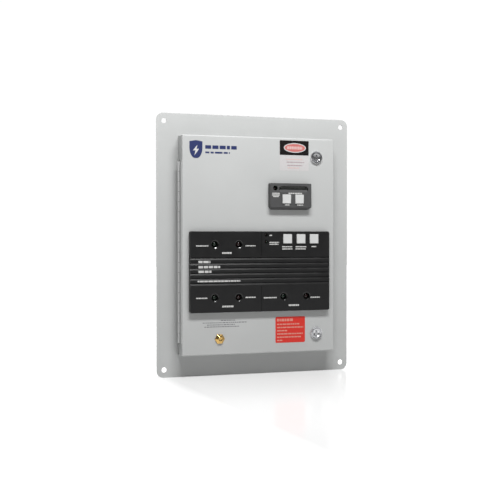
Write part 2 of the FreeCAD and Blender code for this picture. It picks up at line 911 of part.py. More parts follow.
def status_panel():
    """The black moulded cover with its wells, grooves, button holes and fixing bosses."""
    body = rounded(0, panel_z, panel_w, panel_h, panel_corner_r, panel_front, door_front)
    body = body.makeFillet(panel_edge_r, edges_on_plane(body, panel_front))
    body = body.cut(rounded(0, panel_z, panel_w - 2 * panel_wall, panel_h - 2 * panel_wall,
                            panel_corner_r - panel_wall / 2, panel_inner, door_front))
    for x, z in light_places(0) + light_places(1):
        add, cut = light_well(x, z)
        body = body.fuse(add).cut(cut)
    for z in small_light_z:
        body = body.cut(rod(small_light_x, z, small_hole_r, panel_front, panel_inner))
    for x in button_x:
        body = body.cut(button_hole(x, button_z, button_side, panel_front, panel_inner))
    for drop in groove_drops:
        body = body.cut(v_groove(-drop))
    top = panel_z + panel_h / 2
    bottom = panel_z - panel_h / 2
    for z0, z1 in ((-groove_drops[0] + groove_w, top), (bottom, -groove_drops[-1] - groove_w)):
        body = body.cut(block(-split_groove_w / 2, split_groove_w / 2, panel_front,
                              panel_front + split_groove_depth, z0, z1))
    for x, z in panel_boss_places():
        body = body.fuse(rod(x, z, boss_shoulder_r, panel_inner, door_front))
        body = body.fuse(rod(x, z, boss_r, door_front, door_inner + boss_tail))
    return body.removeSplitter()


def status_panel_nuts():
    """Push nuts on the panel's bosses behind the door."""
    nuts = []
    for x, z in panel_boss_places():
        nut = rod(x, z, boss_r * 2, door_inner, door_inner + push_nut_t)
        nuts.append(nut.cut(rod(x, z, boss_r, door_inner, door_inner + push_nut_t)))
    return group(nuts)


def board_spacer_places():
    x = board_w / 2 - spacer_inset
    z = board_h / 2 - 5 * spacer_inset
    return [(sx, panel_z + sz) for sx, sz in corners(x, z)]


def monitor_board():
    board = block_at(0, panel_z, board_w, board_h, board_front, board_back)
    for x, z in board_spacer_places():
        board = board.cut(rod(x, z, spacer_hole_r, board_front, board_back))
    return board


def board_spacers():
    """Pillars between panel and board, each with its screw head behind the board."""
    pillars = []
    for x, z in board_spacer_places():
        pillar = rod(x, z, spacer_r, panel_inner, board_front)
        pillar = pillar.fuse(rod(x, z, spacer_screw_r, board_front, board_back))
        pillars.append(pillar.fuse(rod(x, z, spacer_r, board_back, board_back + spacer_cap_t)))
    return group(pillars)


def domed_light(x, z, r, y_tip, y_base):
    """A round lamp with a domed end at y_tip."""
    stem = rod(x, z, r, y_tip + r, y_base)
    dome = Part.makeSphere(r, Vector(x, y_tip + r, z))
    dome = dome.cut(block_at(x, z, 3 * r, 3 * r, y_tip + r, y_tip + 3 * r))
    return stem.fuse(dome).removeSplitter()


def ready_lights():
    tip = well_floor_y - light_dome_out
    return group([domed_light(x, z, light_r, tip, board_front) for x, z in light_places(0)])


def replace_lights():
    tip = well_floor_y - light_dome_out
    return group([domed_light(x, z, light_r, tip, board_front) for x, z in light_places(1)])


def service_lights():
    """Two small panel lights and the surge counter's light."""
    lamps = []
    for z in small_light_z:
        tip = panel_front + small_light_set_back
        lamps.append(domed_light(small_light_x, z, small_light_r, tip, board_front))
    tip = counter_front + counter_light_set_back
    lamps.append(domed_light(counter_light_x, counter_light_z, counter_light_r, tip, counter_board_front))
    return group(lamps)


def switch(x, z, y_board, y_tip):
    """A tactile switch with its round plunger ending at y_tip."""
    body = block_at(x, z, switch_side, switch_side, y_board - switch_h, y_board)
    return body.fuse(rod(x, z, switch_plunger_r, y_tip, y_board - switch_h))


def tact_switches():
    rest_tip = button_travel + button_spare
    switches = []
    for x in button_x:
        switches.append(switch(x, button_z, board_front, button_stem_end(panel_inner) + rest_tip))
    for x in counter_button_x:
        tip = counter_button_stem_end() + rest_tip
        switches.append(switch_on_counter(x, tip))
    return group(switches)


def switch_on_counter(x, tip):
    """A flat switch on the counter's board."""
    top = counter_board_front - counter_switch_h
    body = block_at(x, counter_button_z, counter_switch_side, counter_switch_side, top, counter_board_front)
    return body.fuse(rod(x, counter_button_z, switch_plunger_r, tip, top))


def alarm_buzzer():
    body = rod(buzzer_x, buzzer_z, buzzer_r, board_back, board_back + buzzer_h)
    return body.cut(rod(buzzer_x, buzzer_z, buzzer_hole_r, board_back + buzzer_h - buzzer_hole_deep,
                        board_back + buzzer_h))


def board_components():
    """Circuits, a crystal and the ribbon header on the rear face of the status panel's board."""
    placed = [header(ribbon_door_x(), ribbon_z, board_back, board_back + header_h)]
    for x, z, w, h in chips:
        placed.append(block_at(x, z, w, h, board_back, board_back + chip_h))
    return group(placed)


# ---------------------------------------------------------------- buttons

def button_stem_end(inner):
    return inner + button_rim_gap + button_rim_t + button_stem_len


def button(x, z, side, front, inner, stem_end):
    """A square key: cap in front of the face, retaining rim behind it and a stem to the switch."""
    cap = rounded(x, z, side, side, button_corner_r, front - button_proud, inner + button_rim_gap)
    cap = cap.makeFillet(button_edge_r, edges_on_plane(cap, front - button_proud))
    rim_side = side + 2 * button_rim
    rim_y = inner + button_rim_gap
    rim = rounded(x, z, rim_side, rim_side, button_corner_r, rim_y, rim_y + button_rim_t)
    return cap.fuse(rim).fuse(rod(x, z, button_stem_r, rim_y + button_rim_t, stem_end)).removeSplitter()


def panel_button(index):
    return button(button_x[index], button_z, button_side, panel_front, panel_inner,
                  button_stem_end(panel_inner))


def counter_button_stem_end():
    return counter_inner + button_rim_gap + button_rim_t + counter_stem_len


def counter_button(index):
    return button(counter_button_x[index], counter_button_z, counter_button_side, counter_front,
                  counter_inner, counter_button_stem_end())


# ---------------------------------------------------------------- surge counter

def counter_boss_x():
    return counter_w / 2 - counter_boss_inset


def counter_outline(w, h, cut, y):
    """Outline of the counter: square at the top, with the two lower corners cut off."""
    x0, x1 = counter_x - w / 2, counter_x + w / 2
    z0, z1 = counter_z - h / 2, counter_z + h / 2
    points = [Vector(x0, y, z1), Vector(x1, y, z1), Vector(x1, y, z0 + cut), Vector(x1 - cut, y, z0),
              Vector(x0 + cut, y, z0), Vector(x0, y, z0 + cut), Vector(x0, y, z1)]
    return Part.Face(Part.makePolygon(points))


def counter_top_edges(body):
    """The two upper corner edges, which run from the face back to the door."""
    lowest = counter_z + counter_h / 2 - counter_corner
    return [edge for edge in edges_along(body, Vector(0, 1, 0)) if edge.BoundBox.ZMin > lowest]


def skirt_cutter():
    """A wedge that slopes the lower end of the counter back to the door."""
    z0 = counter_z - counter_h / 2
    reach = counter_w / 2 + 1
    section = [Vector(counter_x - reach, counter_front, z0 + counter_skirt),
               Vector(counter_x - reach, counter_front, z0 - 1),
               Vector(counter_x - reach, door_front - 1, z0 - 1),
               Vector(counter_x - reach, door_front - 1, z0)]
    section.append(section[0])
    return Part.Face(Part.makePolygon(section)).extrude(Vector(2 * reach, 0, 0))


def screen_sill():
    """The wedge below the slope that leads from the slot's lower edge in to the window."""
    x0 = counter_screen_x - counter_screen_w / 2 - 1
    z0 = counter_screen_z - counter_screen_h / 2
    section = [Vector(x0, counter_front, z0), Vector(x0, screen_floor, z0),
               Vector(x0, screen_floor, z0 + counter_screen_sill)]
    section.append(section[0])
    return Part.Face(Part.makePolygon(section)).extrude(Vector(counter_screen_w + 2, 0, 0))


def counter_housing():
    """The grey counter case with its deep screen slot, lamp hole and two button holes."""
    body = counter_outline(counter_w, counter_h, counter_corner, counter_front)
    body = body.extrude(Vector(0, counter_proud, 0))
    body = body.makeFillet(counter_top_r, counter_top_edges(body))
    body = body.cut(skirt_cutter())
    body = body.makeFillet(counter_edge_r, edges_on_plane(body, counter_front))
    inner_w = counter_w - 2 * counter_wall
    inner_h = counter_h - 2 * counter_wall - counter_skirt
    top = counter_z + counter_h / 2 - counter_wall
    body = body.cut(block(counter_x - inner_w / 2, counter_x + inner_w / 2, counter_inner, door_front,
                          top - inner_h, top))
    rim = rounded(counter_screen_x, counter_screen_z, counter_screen_w + 2 * counter_rim,
                  counter_screen_h + 2 * counter_rim, counter_rim, counter_inner, screen_floor)
    body = body.fuse(rim)
    slot = rounded(counter_screen_x, counter_screen_z, counter_screen_w, counter_screen_h,
                   counter_screen_h / 2 - 0.1, counter_front, screen_floor)
    body = body.cut(slot.cut(screen_sill()))
    body = body.cut(rod(counter_light_x, counter_light_z, counter_light_hole_r,
                        counter_front, counter_inner))
    for x in counter_button_x:
        hole = button_hole(x, counter_button_z, counter_button_side, counter_front, counter_inner)
        body = body.cut(hole)
    for side in (-1, 1):
        x = counter_x + side * counter_boss_x()
        body = body.fuse(rod(x, counter_z, boss_r, counter_inner, door_inner + boss_tail))
    return body.removeSplitter()


def counter_window():
    return rounded(counter_screen_x, counter_screen_z, counter_screen_w + 2 * counter_rim,
                   counter_screen_h + 2 * counter_rim, counter_rim, screen_floor,
                   screen_floor + counter_window_t)


def counter_display():
    y0 = screen_floor + counter_window_t
    return block_at(counter_screen_x, counter_screen_z, counter_screen_w,
                    counter_screen_h + 2 * counter_play, y0, counter_board_front)


def counter_board():
    top = counter_z + counter_h / 2 - counter_wall - counter_play
    bottom = counter_z - counter_h / 2 + counter_wall + counter_skirt + counter_play
    half = counter_w / 2 - counter_wall - counter_play
    board = block(counter_x - half, counter_x + half, counter_board_front, counter_board_back, bottom, top)
    for side in (-1, 1):
        board = board.cut(rod(counter_x + side * counter_boss_x(), counter_z, boss_r + boss_clear,
                              counter_board_front, counter_board_back))
    return board


# ---------------------------------------------------------------- locks and ground bolt

def lock_barrel(z):
    """A chrome lock case: bevelled head on the door and a threaded body behind it."""
    head_front = door_front - lock_head_t
    head = rod(lock_x, z, lock_head_r, head_front, door_front)
    head = head.makeChamfer(lock_head_chamfer, edges_on_plane(head, head_front))
    body = head.fuse(rod(lock_x, z, lock_body_r, door_front, door_front + lock_body_len))
    bore_r = lock_plug_r + lock_plug_clear
    return body.cut(rod(lock_x, z, bore_r, head_front, door_front + lock_body_len))


def lock_barrels():
    return group([lock_barrel(lock_z), lock_barrel(-lock_z)])


def lock_plug(z):
    """The turning cylinder with its keyway, its square tail and the screw head on the tail."""
    front = door_front - lock_head_t + lock_face_set_back
    end = door_front + lock_body_len
    plug = rod(lock_x, z, lock_plug_r, front, end)
    keyway = block_at(lock_x, z, keyway_w, keyway_h, front, front + keyway_depth)
    ward = rod(lock_x, z, keyway_ward_r, front, front + keyway_depth)
    plug = plug.cut(keyway).cut(ward)
    tail = block_at(lock_x, z, lock_tail_side, lock_tail_side, end, end + lock_tail_len)
    return plug.fuse(tail).removeSplitter()


def lock_cam(z):
    """The locking bar on the plug's tail. At rest it points to the door's middle, clear of the lip."""
    y0 = door_front + lock_body_len + lock_cam_gap
    inward = -1 if z > 0 else 1
    half = lock_cam_w / 2
    z_end = z + inward * lock_cam_reach
    bar = block(lock_x - half, lock_x + half, y0, y0 + lock_cam_t, min(z, z_end), max(z, z_end))
    bar = bar.fuse(rod(lock_x, z, half, y0, y0 + lock_cam_t))
    hole = lock_tail_side + 2 * lock_cam_clear
    return bar.cut(block_at(lock_x, z, hole, hole, y0, y0 + lock_cam_t)).removeSplitter()


def lock_nuts():
    nuts = []
    for side in (-1, 1):
        z = side * lock_z
        nut = hexagon(lock_x, z, lock_nut_across, door_inner, door_inner + lock_nut_t)
        nuts.append(nut.cut(rod(lock_x, z, lock_body_r, door_inner, door_inner + lock_nut_t)))
    return group(nuts)


def door_ground_bolt():
    """A slotted brass hexagon bolt through the door."""
    x, z = ground_bolt_x, ground_bolt_z
    half = ground_bolt_across / 2
    top = door_front - ground_bolt_head
    head = hexagon(x, z, ground_bolt_across, top, door_front)
    cone = Part.makeCone(half - ground_cone_in, half + ground_cone_out, ground_cone_rise,
                         Vector(x, top, z), Vector(0, 1, 0))
    cone = cone.fuse(rod(x, z, ground_bolt_across, top + ground_cone_rise, door_front))
    head = head.common(cone)
    head = head.cut(block_at(x, z, 2 * ground_bolt_across, ground_slot_w, top, top + ground_slot_depth))
    bolt = head.fuse(rod(x, z, ground_bolt_r, door_front, door_front + ground_bolt_len))
    bolt.rotate(Vector(x, 0, z), Vector(0, 1, 0), ground_bolt_turn)
    return bolt


def door_ground_nut():
    """The nut behind the door, on its washer."""
    x, z = ground_bolt_x, ground_bolt_z
    end = door_inner + ground_nut_t
    nut = hexagon(x, z, ground_nut_across, door_inner, end)
    washer = rod(x, z, ground_washer_r, door_inner, door_inner + ground_washer_t)
    return nut.fuse(washer).cut(rod(x, z, ground_bolt_r, door_inner, end)).removeSplitter()


def label(spec):
    x, z, w, h = spec
    return rounded(x, z, w, h, label_corner_r, door_front - label_t, door_front)


# ---------------------------------------------------------------- ribbon cable

def ribbon_door_x():
    return -board_w / 2 + 1.5 * spacer_inset


def ribbon_cabinet_x():
    return interface_x - interface_w / 2 + 3 * spacer_inset


def ribbon_harness():
    """A flat cable from the door's board, round behind the hinge side, to the cabinet's board."""
    wall_x = -cabinet_w / 2 + cabinet_sheet + ribbon_wall_gap
    door_end = board_back + header_h
    cabinet_end = interface_front - header_h
    step = door_end + 2 * ribbon_bend_r
    deep = cabinet_end - 2 * ribbon_bend_r
    route = [(ribbon_door_x(), door_end), (ribbon_door_x(), step), (wall_x, step), (wall_x, deep),
             (ribbon_cabinet_x(), deep), (ribbon_cabinet_x(), cabinet_end)]
    strip = rounded_path(route, ribbon_bend_r).makeOffset2D(ribbon_t, 0, True, True, False)
    flat = strip.extrude(Vector(0, 0, ribbon_w))
    flat.translate(Vector(0, 0, ribbon_z - ribbon_w / 2))
    return flat


def rounded_path(route, r):
    """A wire in the XY plane through the route's corners, each rounded to radius r."""
    points = [Vector(x, y, 0) for x, y in route]
    edges = []
    start = points[0]
    for before, corner, after in zip(points, points[1:], points[2:]):
        into = (corner - before).normalize()
        out = (after - corner).normalize()
        a = corner - into * r
        b = corner + out * r
        middle = corner + (out - into) * r * (1 - math.sqrt(0.5))
        edges.append(Part.LineSegment(start, a).toShape())
        edges.append(Part.Arc(a, middle, b).toShape())
        start = b
    edges.append(Part.LineSegment(start, points[-1]).toShape())
    return Part.Wire(edges)


def build_all():
    module_a, module_b, module_c = module_places()
    return {
        "wall_flange": wall_flange(),
        "back_box": back_box(),
        "box_ends": box_ends(),
        "door_rim": door_rim(),
        "sub_panel": sub_panel(),
        "panel_standoffs": panel_standoffs(),
        "panel_nuts": panel_nuts(),
        "surge_module_a": surge_module(*module_a),
        "surge_module_b": surge_module(*module_b),
        "surge_module_c": surge_module(*module_c),
        "module_screws": module_screws(),
        "varistor_discs": varistor_discs(),
        "module_tabs": module_tabs(),
        "busbars": busbars(),
        "busbar_supports": busbar_supports(),
        "terminal_block": terminal_block(),
        "clamp_screws": clamp_screws(),
        "ground_bar": ground_bar(),
        "interface_board": interface_board(),
        "interface_spacers": interface_spacers(),
        "fuse_clips": fuse_clips(),
        "fuse_links": fuse_links(),
        "control_transformer": control_transformer(),
        "filter_capacitors": filter_capacitors(),
        "interface_header": interface_header(),
        "hinge_box_leaf": hinge_box_leaf(),
        "hinge_pin": hinge_pin(),
        "ribbon_harness": ribbon_harness(),
        "door_pan": door_pan(),
        "door_gasket": door_gasket(),
        "hinge_door_leaf": hinge_door_leaf(),
        "status_panel": status_panel(),
        "status_panel_nuts": status_panel_nuts(),
        "monitor_board": monitor_board(),
        "board_spacers": board_spacers(),
        "ready_lights": ready_lights(),
        "replace_lights": replace_lights(),
        "service_lights": service_lights(),
        "tact_switches": tact_switches(),
        "alarm_buzzer": alarm_buzzer(),
        "board_components": board_components(),
        "counter_housing": counter_housing(),
        "counter_window": counter_window(),
        "counter_display": counter_display(),
        "counter_board": counter_board(),
        "lock_barrels": lock_barrels(),
        "lock_nuts": lock_nuts(),
        "door_ground_bolt": door_ground_bolt(),
        "door_ground_nut": door_ground_nut(),
        "upper_label": label(upper_label),
        "lower_label": label(lower_label),
        "enable_button": panel_button(0),
        "silence_button": panel_button(1),
        "test_button": panel_button(2),
        "counter_left_button": counter_button(0),
        "counter_right_button": counter_button(1),
        "upper_lock_plug": lock_plug(lock_z),
        "upper_lock_cam": lock_cam(lock_z),
        "lower_lock_plug": lock_plug(-lock_z),
        "lower_lock_cam": lock_cam(-lock_z),
    }


os.makedirs("parts", exist_ok=True)
for node, shape in build_all().items():
    save(node, shape)
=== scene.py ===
import bpy
import math
import random
from mathutils import Matrix, Vector


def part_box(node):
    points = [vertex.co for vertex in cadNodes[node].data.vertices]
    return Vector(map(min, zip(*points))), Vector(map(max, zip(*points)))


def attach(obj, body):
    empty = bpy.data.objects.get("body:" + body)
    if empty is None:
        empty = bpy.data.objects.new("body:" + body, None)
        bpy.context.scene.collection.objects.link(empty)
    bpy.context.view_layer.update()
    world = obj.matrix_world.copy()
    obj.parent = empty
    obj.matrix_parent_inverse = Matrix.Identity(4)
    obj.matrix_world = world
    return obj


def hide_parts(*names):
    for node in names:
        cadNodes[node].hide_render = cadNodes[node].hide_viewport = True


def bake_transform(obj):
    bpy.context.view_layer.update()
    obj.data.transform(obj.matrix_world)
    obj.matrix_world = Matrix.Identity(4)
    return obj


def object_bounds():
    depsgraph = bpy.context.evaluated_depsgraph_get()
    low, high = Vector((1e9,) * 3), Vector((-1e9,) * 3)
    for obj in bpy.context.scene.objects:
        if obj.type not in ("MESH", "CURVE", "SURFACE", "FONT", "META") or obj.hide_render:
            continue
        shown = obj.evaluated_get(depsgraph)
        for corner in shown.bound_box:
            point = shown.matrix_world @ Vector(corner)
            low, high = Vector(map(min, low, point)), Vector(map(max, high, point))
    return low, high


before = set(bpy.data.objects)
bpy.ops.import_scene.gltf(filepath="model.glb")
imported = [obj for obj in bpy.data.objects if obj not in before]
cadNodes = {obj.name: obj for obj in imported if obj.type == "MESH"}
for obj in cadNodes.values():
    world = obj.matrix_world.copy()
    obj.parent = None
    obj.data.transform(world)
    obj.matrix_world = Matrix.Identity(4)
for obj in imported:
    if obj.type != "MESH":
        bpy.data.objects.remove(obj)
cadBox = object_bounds()
mm = 0.001
print("frame loaded,", len(cadNodes), "CAD nodes")


def boxOf(name):
    low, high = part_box(name)
    return Vector(low), Vector(high)


def clearSelection():
    if bpy.context.object and bpy.context.object.mode != "OBJECT":
        bpy.ops.object.mode_set(mode="OBJECT")
    bpy.ops.object.select_all(action="DESELECT")


def pickOnly(obj):
    clearSelection()
    obj.select_set(True)
    bpy.context.view_layer.objects.active = obj


def settle(obj):
    pickOnly(obj)
    bpy.ops.object.transform_apply(location=True, rotation=True, scale=True)


def addBlock(name, low, high):
    clearSelection()
    low, high = Vector(low), Vector(high)
    bpy.ops.mesh.primitive_cube_add(size=1, location=(low + high) / 2)
    obj = bpy.context.object
    obj.name = name
    obj.scale = high - low
    settle(obj)
    return obj


def addRod(name, centre, radius, front, back, sides=48):
    # a cylinder along Y between two depths
    clearSelection()
    place = Vector((centre[0], (front + back) / 2, centre[1]))
    bpy.ops.mesh.primitive_cylinder_add(vertices=sides, radius=radius, depth=back - front,
                                        location=place, rotation=(math.pi / 2, 0, 0))
    obj = bpy.context.object
    obj.name = name
    settle(obj)
    return obj


def useModifier(obj, kind, **settings):
    pickOnly(obj)
    modifier = obj.modifiers.new("shape", kind)
    for key, value in settings.items():
        setattr(modifier, key, value)
    bpy.ops.object.modifier_apply(modifier=modifier.name)


def bevelEdges(obj, width, segments=3, angle=30):
    useModifier(obj, "BEVEL", width=width, segments=segments, limit_method="ANGLE",
                angle_limit=math.radians(angle), harden_normals=False)


def smooth(obj, angle=32):
    pickOnly(obj)
    bpy.ops.object.shade_smooth_by_angle(angle=math.radians(angle))
    return obj


def joinPieces(name, objs):
    clearSelection()
    for obj in objs:
        obj.select_set(True)
    bpy.context.view_layer.objects.active = objs[0]
    if len(objs) > 1:
        bpy.ops.object.join()
    objs[0].name = name
    return objs[0]


def copyPiece(obj, name, offset):
    pickOnly(obj)
    bpy.ops.object.duplicate(linked=False)
    twin = bpy.context.object
    twin.name = name
    twin.data.transform(Matrix.Translation(Vector(offset)))
    return twin


def editPiece(obj, kind="FACE"):
    pickOnly(obj)
    bpy.ops.object.mode_set(mode="EDIT")
    bpy.ops.mesh.select_mode(type=kind)
    bpy.ops.mesh.select_all(action="DESELECT")
    bpy.ops.object.mode_set(mode="OBJECT")


def pickFaces(obj, test):
    # test gets a face's middle and its normal
    editPiece(obj, "FACE")
    for face in obj.data.polygons:
        face.select = test(face.center, face.normal)
    bpy.ops.object.mode_set(mode="EDIT")


def leaveEdit():
    bpy.ops.object.mode_set(mode="OBJECT")


def finishPiece(obj, body, material, replaced=()):
    obj.data.materials.clear()
    obj.data.materials.append(material)
    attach(obj, body)
    if replaced:
        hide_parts(*replaced)


def newFinish(name):
    mat = bpy.data.materials.new(name)
    mat.use_nodes = True
    tree = mat.node_tree
    shader = tree.nodes["Principled BSDF"]
    place = tree.nodes.new("ShaderNodeTexCoord").outputs["Object"]
    return mat, tree, shader, place


def noiseAt(tree, place, scale, detail=4, roughness=0.55, stretch=None):
    source = place
    if stretch:
        mapping = tree.nodes.new("ShaderNodeMapping")
        mapping.inputs["Scale"].default_value = stretch
        tree.links.new(place, mapping.inputs["Vector"])
        source = mapping.outputs["Vector"]
    noise = tree.nodes.new("ShaderNodeTexNoise")
    noise.inputs["Scale"].default_value = scale
    noise.inputs["Detail"].default_value = detail
    noise.inputs["Roughness"].default_value = roughness
    tree.links.new(source, noise.inputs["Vector"])
    return noise.outputs["Fac"]


def colourRamp(tree, value, stops):
    ramp = tree.nodes.new("ShaderNodeValToRGB")
    line = ramp.color_ramp
    while len(line.elements) < len(stops):
        line.elements.new(0.5)
    for element, (place, colour) in zip(line.elements, stops):
        element.position = place
        element.color = (*colour, 1)
    tree.links.new(value, ramp.inputs["Fac"])
    return ramp.outputs["Color"]


def remap(tree, value, fromLow, fromHigh, toLow, toHigh):
    node = tree.nodes.new("ShaderNodeMapRange")
    ends = {"From Min": fromLow, "From Max": fromHigh, "To Min": toLow, "To Max": toHigh}
    for key, number in ends.items():
        node.inputs[key].default_value = number
    tree.links.new(value, node.inputs["Value"])
    return node.outputs["Result"]


def calculate(tree, operation, a, b=None):
    node = tree.nodes.new("ShaderNodeMath")
    node.operation = operation
    for socket, value in zip(node.inputs, (a, b)):
        if value is None:
            continue
        if isinstance(value, (int, float)):
            socket.default_value = value
        else:
            tree.links.new(value, socket)
    return node.outputs["Value"]


def mixColour(tree, factor, a, b):
    node = tree.nodes.new("ShaderNodeMix")
    node.data_type = "RGBA"
    for socket, value in ((node.inputs["Factor"], factor), (node.inputs["A"], a), (node.inputs["B"], b)):
        if isinstance(value, bpy.types.NodeSocket):
            tree.links.new(value, socket)
        elif isinstance(value, (int, float)):
            socket.default_value = value
        else:
            socket.default_value = (*value, 1)
    return next(o for o in node.outputs if o.type == "RGBA")


def bumpFrom(tree, height, strength, distance, before=None):
    bump = tree.nodes.new("ShaderNodeBump")
    bump.inputs["Strength"].default_value = strength
    bump.inputs["Distance"].default_value = distance
    tree.links.new(height, bump.inputs["Height"])
    if before:
        tree.links.new(before, bump.inputs["Normal"])
    return bump.outputs["Normal"]


def shades(colour, spread):
    # a darker and a lighter neighbour of a colour
    dark = tuple(c * (1 - spread) for c in colour)
    light = tuple(min(1, c * (1 + spread)) for c in colour)
    return dark, light


def axisOf(tree, place, index):
    parts = tree.nodes.new("ShaderNodeSeparateXYZ")
    tree.links.new(place, parts.inputs["Vector"])
    return parts.outputs[index]


def edgeBand(tree, place, halfX, halfZ, width):
    # 0 inside a rectangle round the origin and 1 at its outline
    sides = []
    for index, half in ((0, halfX), (2, halfZ)):
        away = calculate(tree, "ABSOLUTE", axisOf(tree, place, index))
        sides.append(remap(tree, away, half - width, half, 0, 1))
    return calculate(tree, "MAXIMUM", *sides)


def enamelFinish(name, look, halfX=None, halfZ=None):
    # sprayed and baked enamel: fine orange peel, faint clouds, dark specks and rubbed edges
    mat, tree, shader, place = newFinish(name)
    dark, light = shades(look["colour"], 0.035)
    clouds = noiseAt(tree, place, look["cloudScale"], 5)
    colour = colourRamp(tree, clouds, [(0.3, dark), (0.72, light)])
    specks = noiseAt(tree, place, look["speckScale"], 2)
    speckMask = remap(tree, specks, 0.71, 0.78, 0, look["specks"])
    colour = mixColour(tree, speckMask, colour, tuple(c * 0.55 for c in look["colour"]))
    if halfX:
        band = edgeBand(tree, place, halfX, halfZ, look["rubWidth"])
        ragged = remap(tree, noiseAt(tree, place, 140, 6, 0.7), 0.42, 0.66, 0, 1)
        rubbed = calculate(tree, "MULTIPLY", calculate(tree, "MULTIPLY", band, ragged), look["rub"])
        colour = mixColour(tree, rubbed, colour, tuple(min(1, c * 1.18) for c in look["colour"]))
    tree.links.new(colour, shader.inputs["Base Color"])
    rough = remap(tree, noiseAt(tree, place, 22, 4), 0.3, 0.7, look["rough"] - 0.05, look["rough"] + 0.07)
    tree.links.new(rough, shader.inputs["Roughness"])
    peel = noiseAt(tree, place, look["peelScale"], 2)
    waves = noiseAt(tree, place, 9, 2)
    normal = bumpFrom(tree, waves, 0.12, 0.0006)
    tree.links.new(bumpFrom(tree, peel, look["peel"], 0.00008, normal), shader.inputs["Normal"])
    shader.inputs["Coat Weight"].default_value = look["coat"]
    shader.inputs["Coat Roughness"].default_value = 0.28
    return mat


def mouldedFinish(name, colour, rough=0.42, grain=900, relief=0.25, spread=0.08, shine=0.5):
    # moulded plastic: even grain, slightly uneven sheen and a few dusty spots
    mat, tree, shader, place = newFinish(name)
    dark, light = shades(colour, spread)
    clouds = noiseAt(tree, place, 35, 5)
    tint = colourRamp(tree, clouds, [(0.3, dark), (0.7, light)])
    dust = remap(tree, noiseAt(tree, place, 420, 3), 0.68, 0.8, 0, 0.1)
    dusty = tuple(min(1, 0.85 * c + 0.09) for c in colour)
    tree.links.new(mixColour(tree, dust, tint, dusty), shader.inputs["Base Color"])
    uneven = remap(tree, noiseAt(tree, place, 60, 6), 0.3, 0.7, rough - 0.06, rough + 0.08)
    tree.links.new(uneven, shader.inputs["Roughness"])
    height = noiseAt(tree, place, grain, 3)
    tree.links.new(bumpFrom(tree, height, relief, 0.00012), shader.inputs["Normal"])
    shader.inputs["Specular IOR Level"].default_value = shine
    return mat


def metalFinish(name, colour, rough=0.3, lines=(1, 1, 1), scale=700, relief=0.15, stains=0.12, spread=0.06):
    # worked metal: drawn or turned lines, faint stains and an uneven sheen
    mat, tree, shader, place = newFinish(name)
    shader.inputs["Metallic"].default_value = 1.0
    dark, light = shades(colour, spread)
    drawn = noiseAt(tree, place, scale, 3, 0.6, lines)
    tint = colourRamp(tree, drawn, [(0.25, dark), (0.75, light)])
    stain = remap(tree, noiseAt(tree, place, 90, 6, 0.7), 0.52, 0.75, 0, stains)
    tint = mixColour(tree, stain, tint, tuple(c * 0.45 for c in colour))
    tree.links.new(tint, shader.inputs["Base Color"])
    uneven = remap(tree, noiseAt(tree, place, 160, 5), 0.3, 0.7, max(0.03, rough - 0.06), rough + 0.1)
    tree.links.new(uneven, shader.inputs["Roughness"])
    tree.links.new(bumpFrom(tree, drawn, relief, 0.00006), shader.inputs["Normal"])
    return mat


def boardFinish(name):
    # green solder mask with copper tracks under it and bright pads
    mat, tree, shader, place = newFinish(name)
    voronoi = tree.nodes.new("ShaderNodeTexVoronoi")
    voronoi.distance = "MANHATTAN"
    voronoi.feature = "DISTANCE_TO_EDGE"
    voronoi.inputs["Scale"].default_value = 150
    tree.links.new(place, voronoi.inputs["Vector"])
    track = remap(tree, voronoi.outputs["Distance"], 0.05, 0.12, 1, 0)
    patches = noiseAt(tree, place, 60, 4)
    mask = colourRamp(tree, patches, [(0.3, (0.012, 0.075, 0.03)), (0.7, (0.02, 0.11, 0.045))])
    colour = mixColour(tree, track, mask, (0.045, 0.2, 0.075))
    dots = tree.nodes.new("ShaderNodeTexVoronoi")
    dots.inputs["Scale"].default_value = 210
    dots.inputs["Randomness"].default_value = 0.35
    tree.links.new(place, dots.inputs["Vector"])
    pad = remap(tree, dots.outputs["Distance"], 0.16, 0.2, 1, 0)
    tree.links.new(mixColour(tree, pad, colour, (0.55, 0.52, 0.44)), shader.inputs["Base Color"])
    tree.links.new(remap(tree, pad, 0, 1, 0.32, 0.22), shader.inputs["Roughness"])
    raised = calculate(tree, "MAXIMUM", track, pad)
    tree.links.new(bumpFrom(tree, raised, 0.4, 0.00005), shader.inputs["Normal"])
    return mat


def lensFinish(name, colour):
    # tinted lamp plastic, dark when unlit
    mat, tree, shader, place = newFinish(name)
    dark, light = shades(colour, 0.3)
    tint = colourRamp(tree, noiseAt(tree, place, 260, 4), [(0.3, dark), (0.7, light)])
    tree.links.new(tint, shader.inputs["Base Color"])
    rough = remap(tree, noiseAt(tree, place, 400, 3), 0.3, 0.7, 0.16, 0.26)
    tree.links.new(rough, shader.inputs["Roughness"])
    tree.links.new(bumpFrom(tree, noiseAt(tree, place, 500, 2), 0.04, 0.00005), shader.inputs["Normal"])
    shader.inputs["Coat Weight"].default_value = 0.1
    shader.inputs["Coat Roughness"].default_value = 0.15
    return mat


def windowFinish(name):
    # clear plastic with faint smears
    mat, tree, shader, place = newFinish(name)
    smears = noiseAt(tree, place, 70, 6, 0.7, (1, 1, 3))
    tree.links.new(colourRamp(tree, smears, [(0.3, (0.5, 0.53, 0.5)), (0.7, (0.62, 0.64, 0.6))]),
                   shader.inputs["Base Color"])
    tree.links.new(remap(tree, smears, 0.3, 0.7, 0.04, 0.14), shader.inputs["Roughness"])
    shader.inputs["Transmission Weight"].default_value = 0.85
    shader.inputs["IOR"].default_value = 1.45
    return mat


